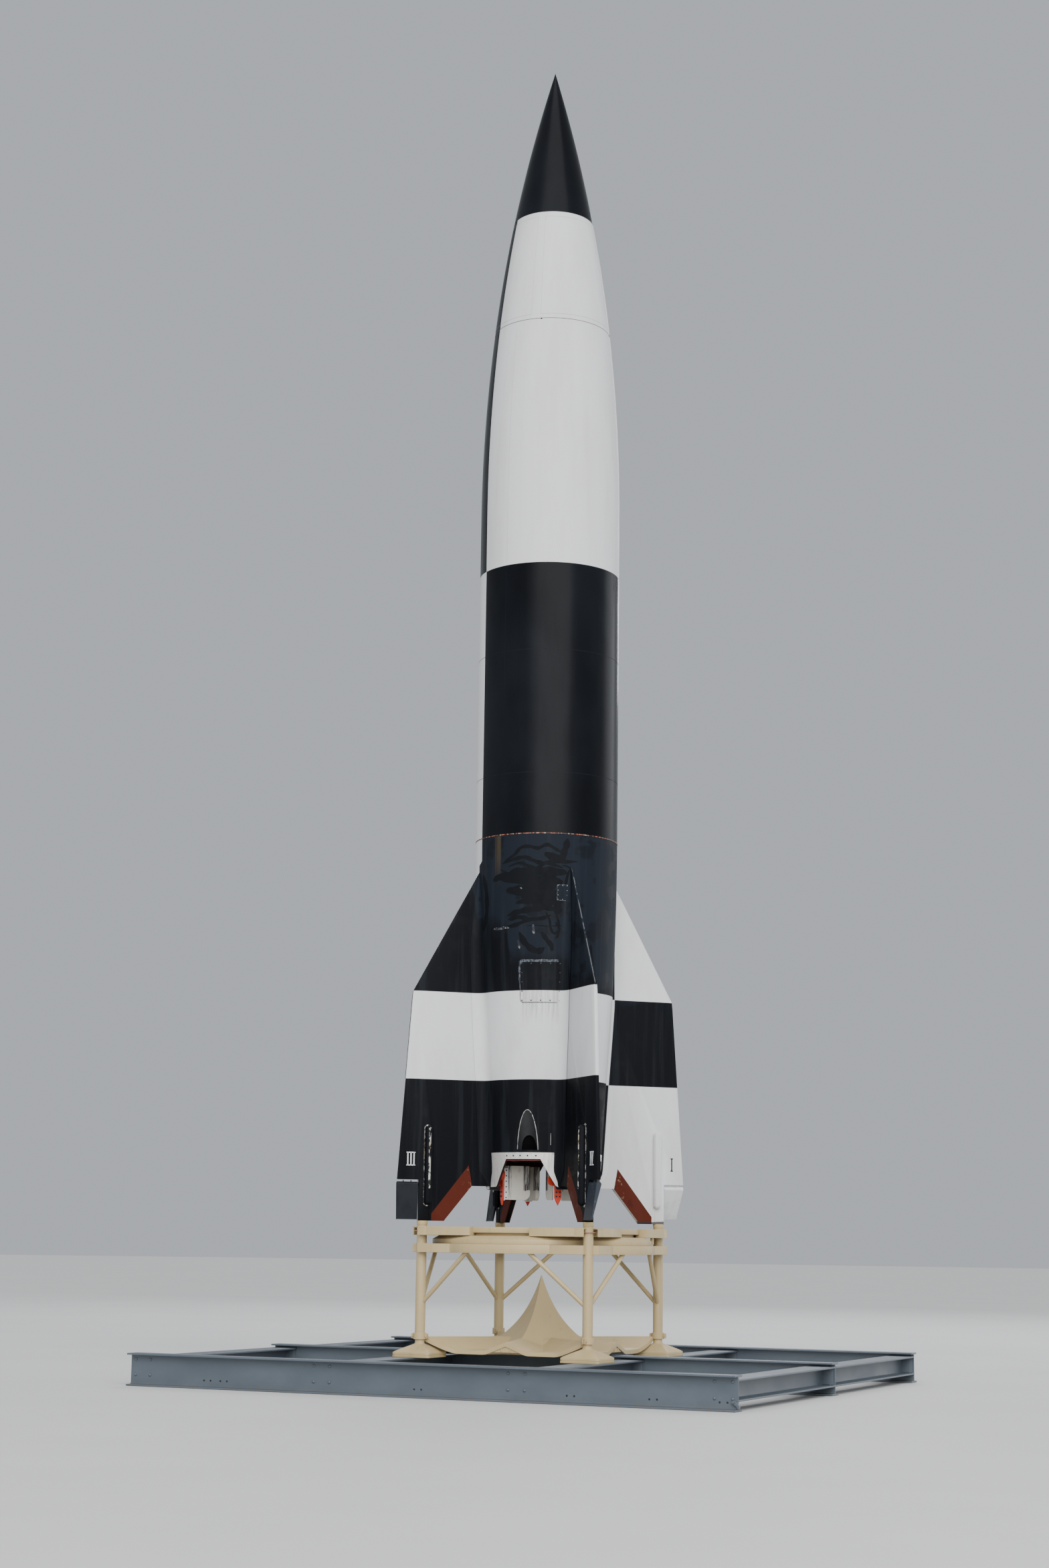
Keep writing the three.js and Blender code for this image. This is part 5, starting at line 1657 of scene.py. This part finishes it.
def makeCamera():
    pitch, roll, yaw, turn = (math.radians(view[key]) for key in ("pitch", "roll", "yaw", "turn"))
    forward = np.array([math.sin(yaw) * math.cos(pitch), math.cos(yaw) * math.cos(pitch), math.sin(pitch)])
    right = np.array([math.cos(yaw), -math.sin(yaw), 0])
    up = np.cross(right, forward)
    axes = np.stack([right * math.cos(roll) + up * math.sin(roll),
                     -right * math.sin(roll) + up * math.cos(roll), -forward], axis=1)
    c, s = math.cos(turn), math.sin(turn)
    axes = np.array([[c, -s, 0], [s, c, 0], [0, 0, 1]]) @ axes
    data = bpy.data.cameras.new("camera")
    data.sensor_width = 36
    data.lens = view["focal"] / view["imageHeight"] * data.sensor_width
    data.clip_start, data.clip_end = 0.1, 500
    camera = bpy.data.objects.new("camera", data)
    bpy.context.scene.collection.objects.link(camera)
    matrix = np.eye(4)
    matrix[:3, :3], matrix[:3, 3] = axes, view["place"]
    camera.matrix_world = Matrix(matrix.tolist())
    bpy.context.scene.camera = camera


def makeStage():
    angles = np.linspace(0, 2 * math.pi, 96, endpoint=False)
    radii = np.array([0.001, 20, 60, 160])
    points = polar(radii[:, None], angles[None], -0.002)
    mesh = bpy.data.meshes.new("floor")
    shape = gridShape(points[::-1])
    mesh.from_pydata(shape[0], [], shape[1].tolist())
    floor = bpy.data.objects.new("floor", mesh)
    material, position = newMaterial("floor", Roughness=0.8)
    cloud = patches(position, even, 0.4, 0.5, 0.3, 4.0)
    colour = blendColour(cloud, (0.62, 0.62, 0.61), (0.58, 0.58, 0.575))
    tree = material.node_tree
    tree.links.new(colour.socket, tree.nodes["Principled BSDF"].inputs["Base Color"])
    mesh.materials.append(material)
    bpy.context.scene.collection.objects.link(floor)


lamps = {
    "key": {"place": (14.5, -22, 17), "size": (28, 22), "power": 4300, "colour": (1.0, 0.985, 0.96)},
    "side": {"place": (14.5, 21.5, 10), "size": (15, 20), "power": 2000, "colour": (0.95, 0.975, 1.0)},
    "back": {"place": (-8, 26, 20), "size": (12, 12), "power": 2600, "colour": (0.95, 0.97, 1.0)},
}
sky = {"colour": (0.80, 0.84, 0.90), "strength": 0.60, "sun": 2.9, "sunFrom": (7, -13, 17), "sunAngle": 70}


def addLamp(name, kind, place, colour, energy):
    data = bpy.data.lights.new(name, kind)
    data.color, data.energy = colour, energy
    light = bpy.data.objects.new(name, data)
    bpy.context.scene.collection.objects.link(light)
    light.location = place
    light.rotation_mode = "QUATERNION"
    light.rotation_quaternion = (Vector((0, 0, 7)) - Vector(place)).to_track_quat("-Z", "Y")
    return data


def makeLights():
    for name, lamp in lamps.items():
        data = addLamp(name, "AREA", lamp["place"], lamp["colour"], lamp["power"])
        data.shape = "RECTANGLE"
        data.size, data.size_y = lamp["size"]
    sun = addLamp("softSun", "SUN", sky["sunFrom"], (1.0, 0.99, 0.97), sky["sun"])
    sun.angle = math.radians(sky["sunAngle"])
    world = bpy.data.worlds.new("world")
    world.use_nodes = True
    background = world.node_tree.nodes["Background"]
    background.inputs[0].default_value = (*sky["colour"], 1)
    background.inputs[1].default_value = sky["strength"]
    bpy.context.scene.world = world


makeCamera()
makeStage()
makeLights()
print("camera, floor and lights made")
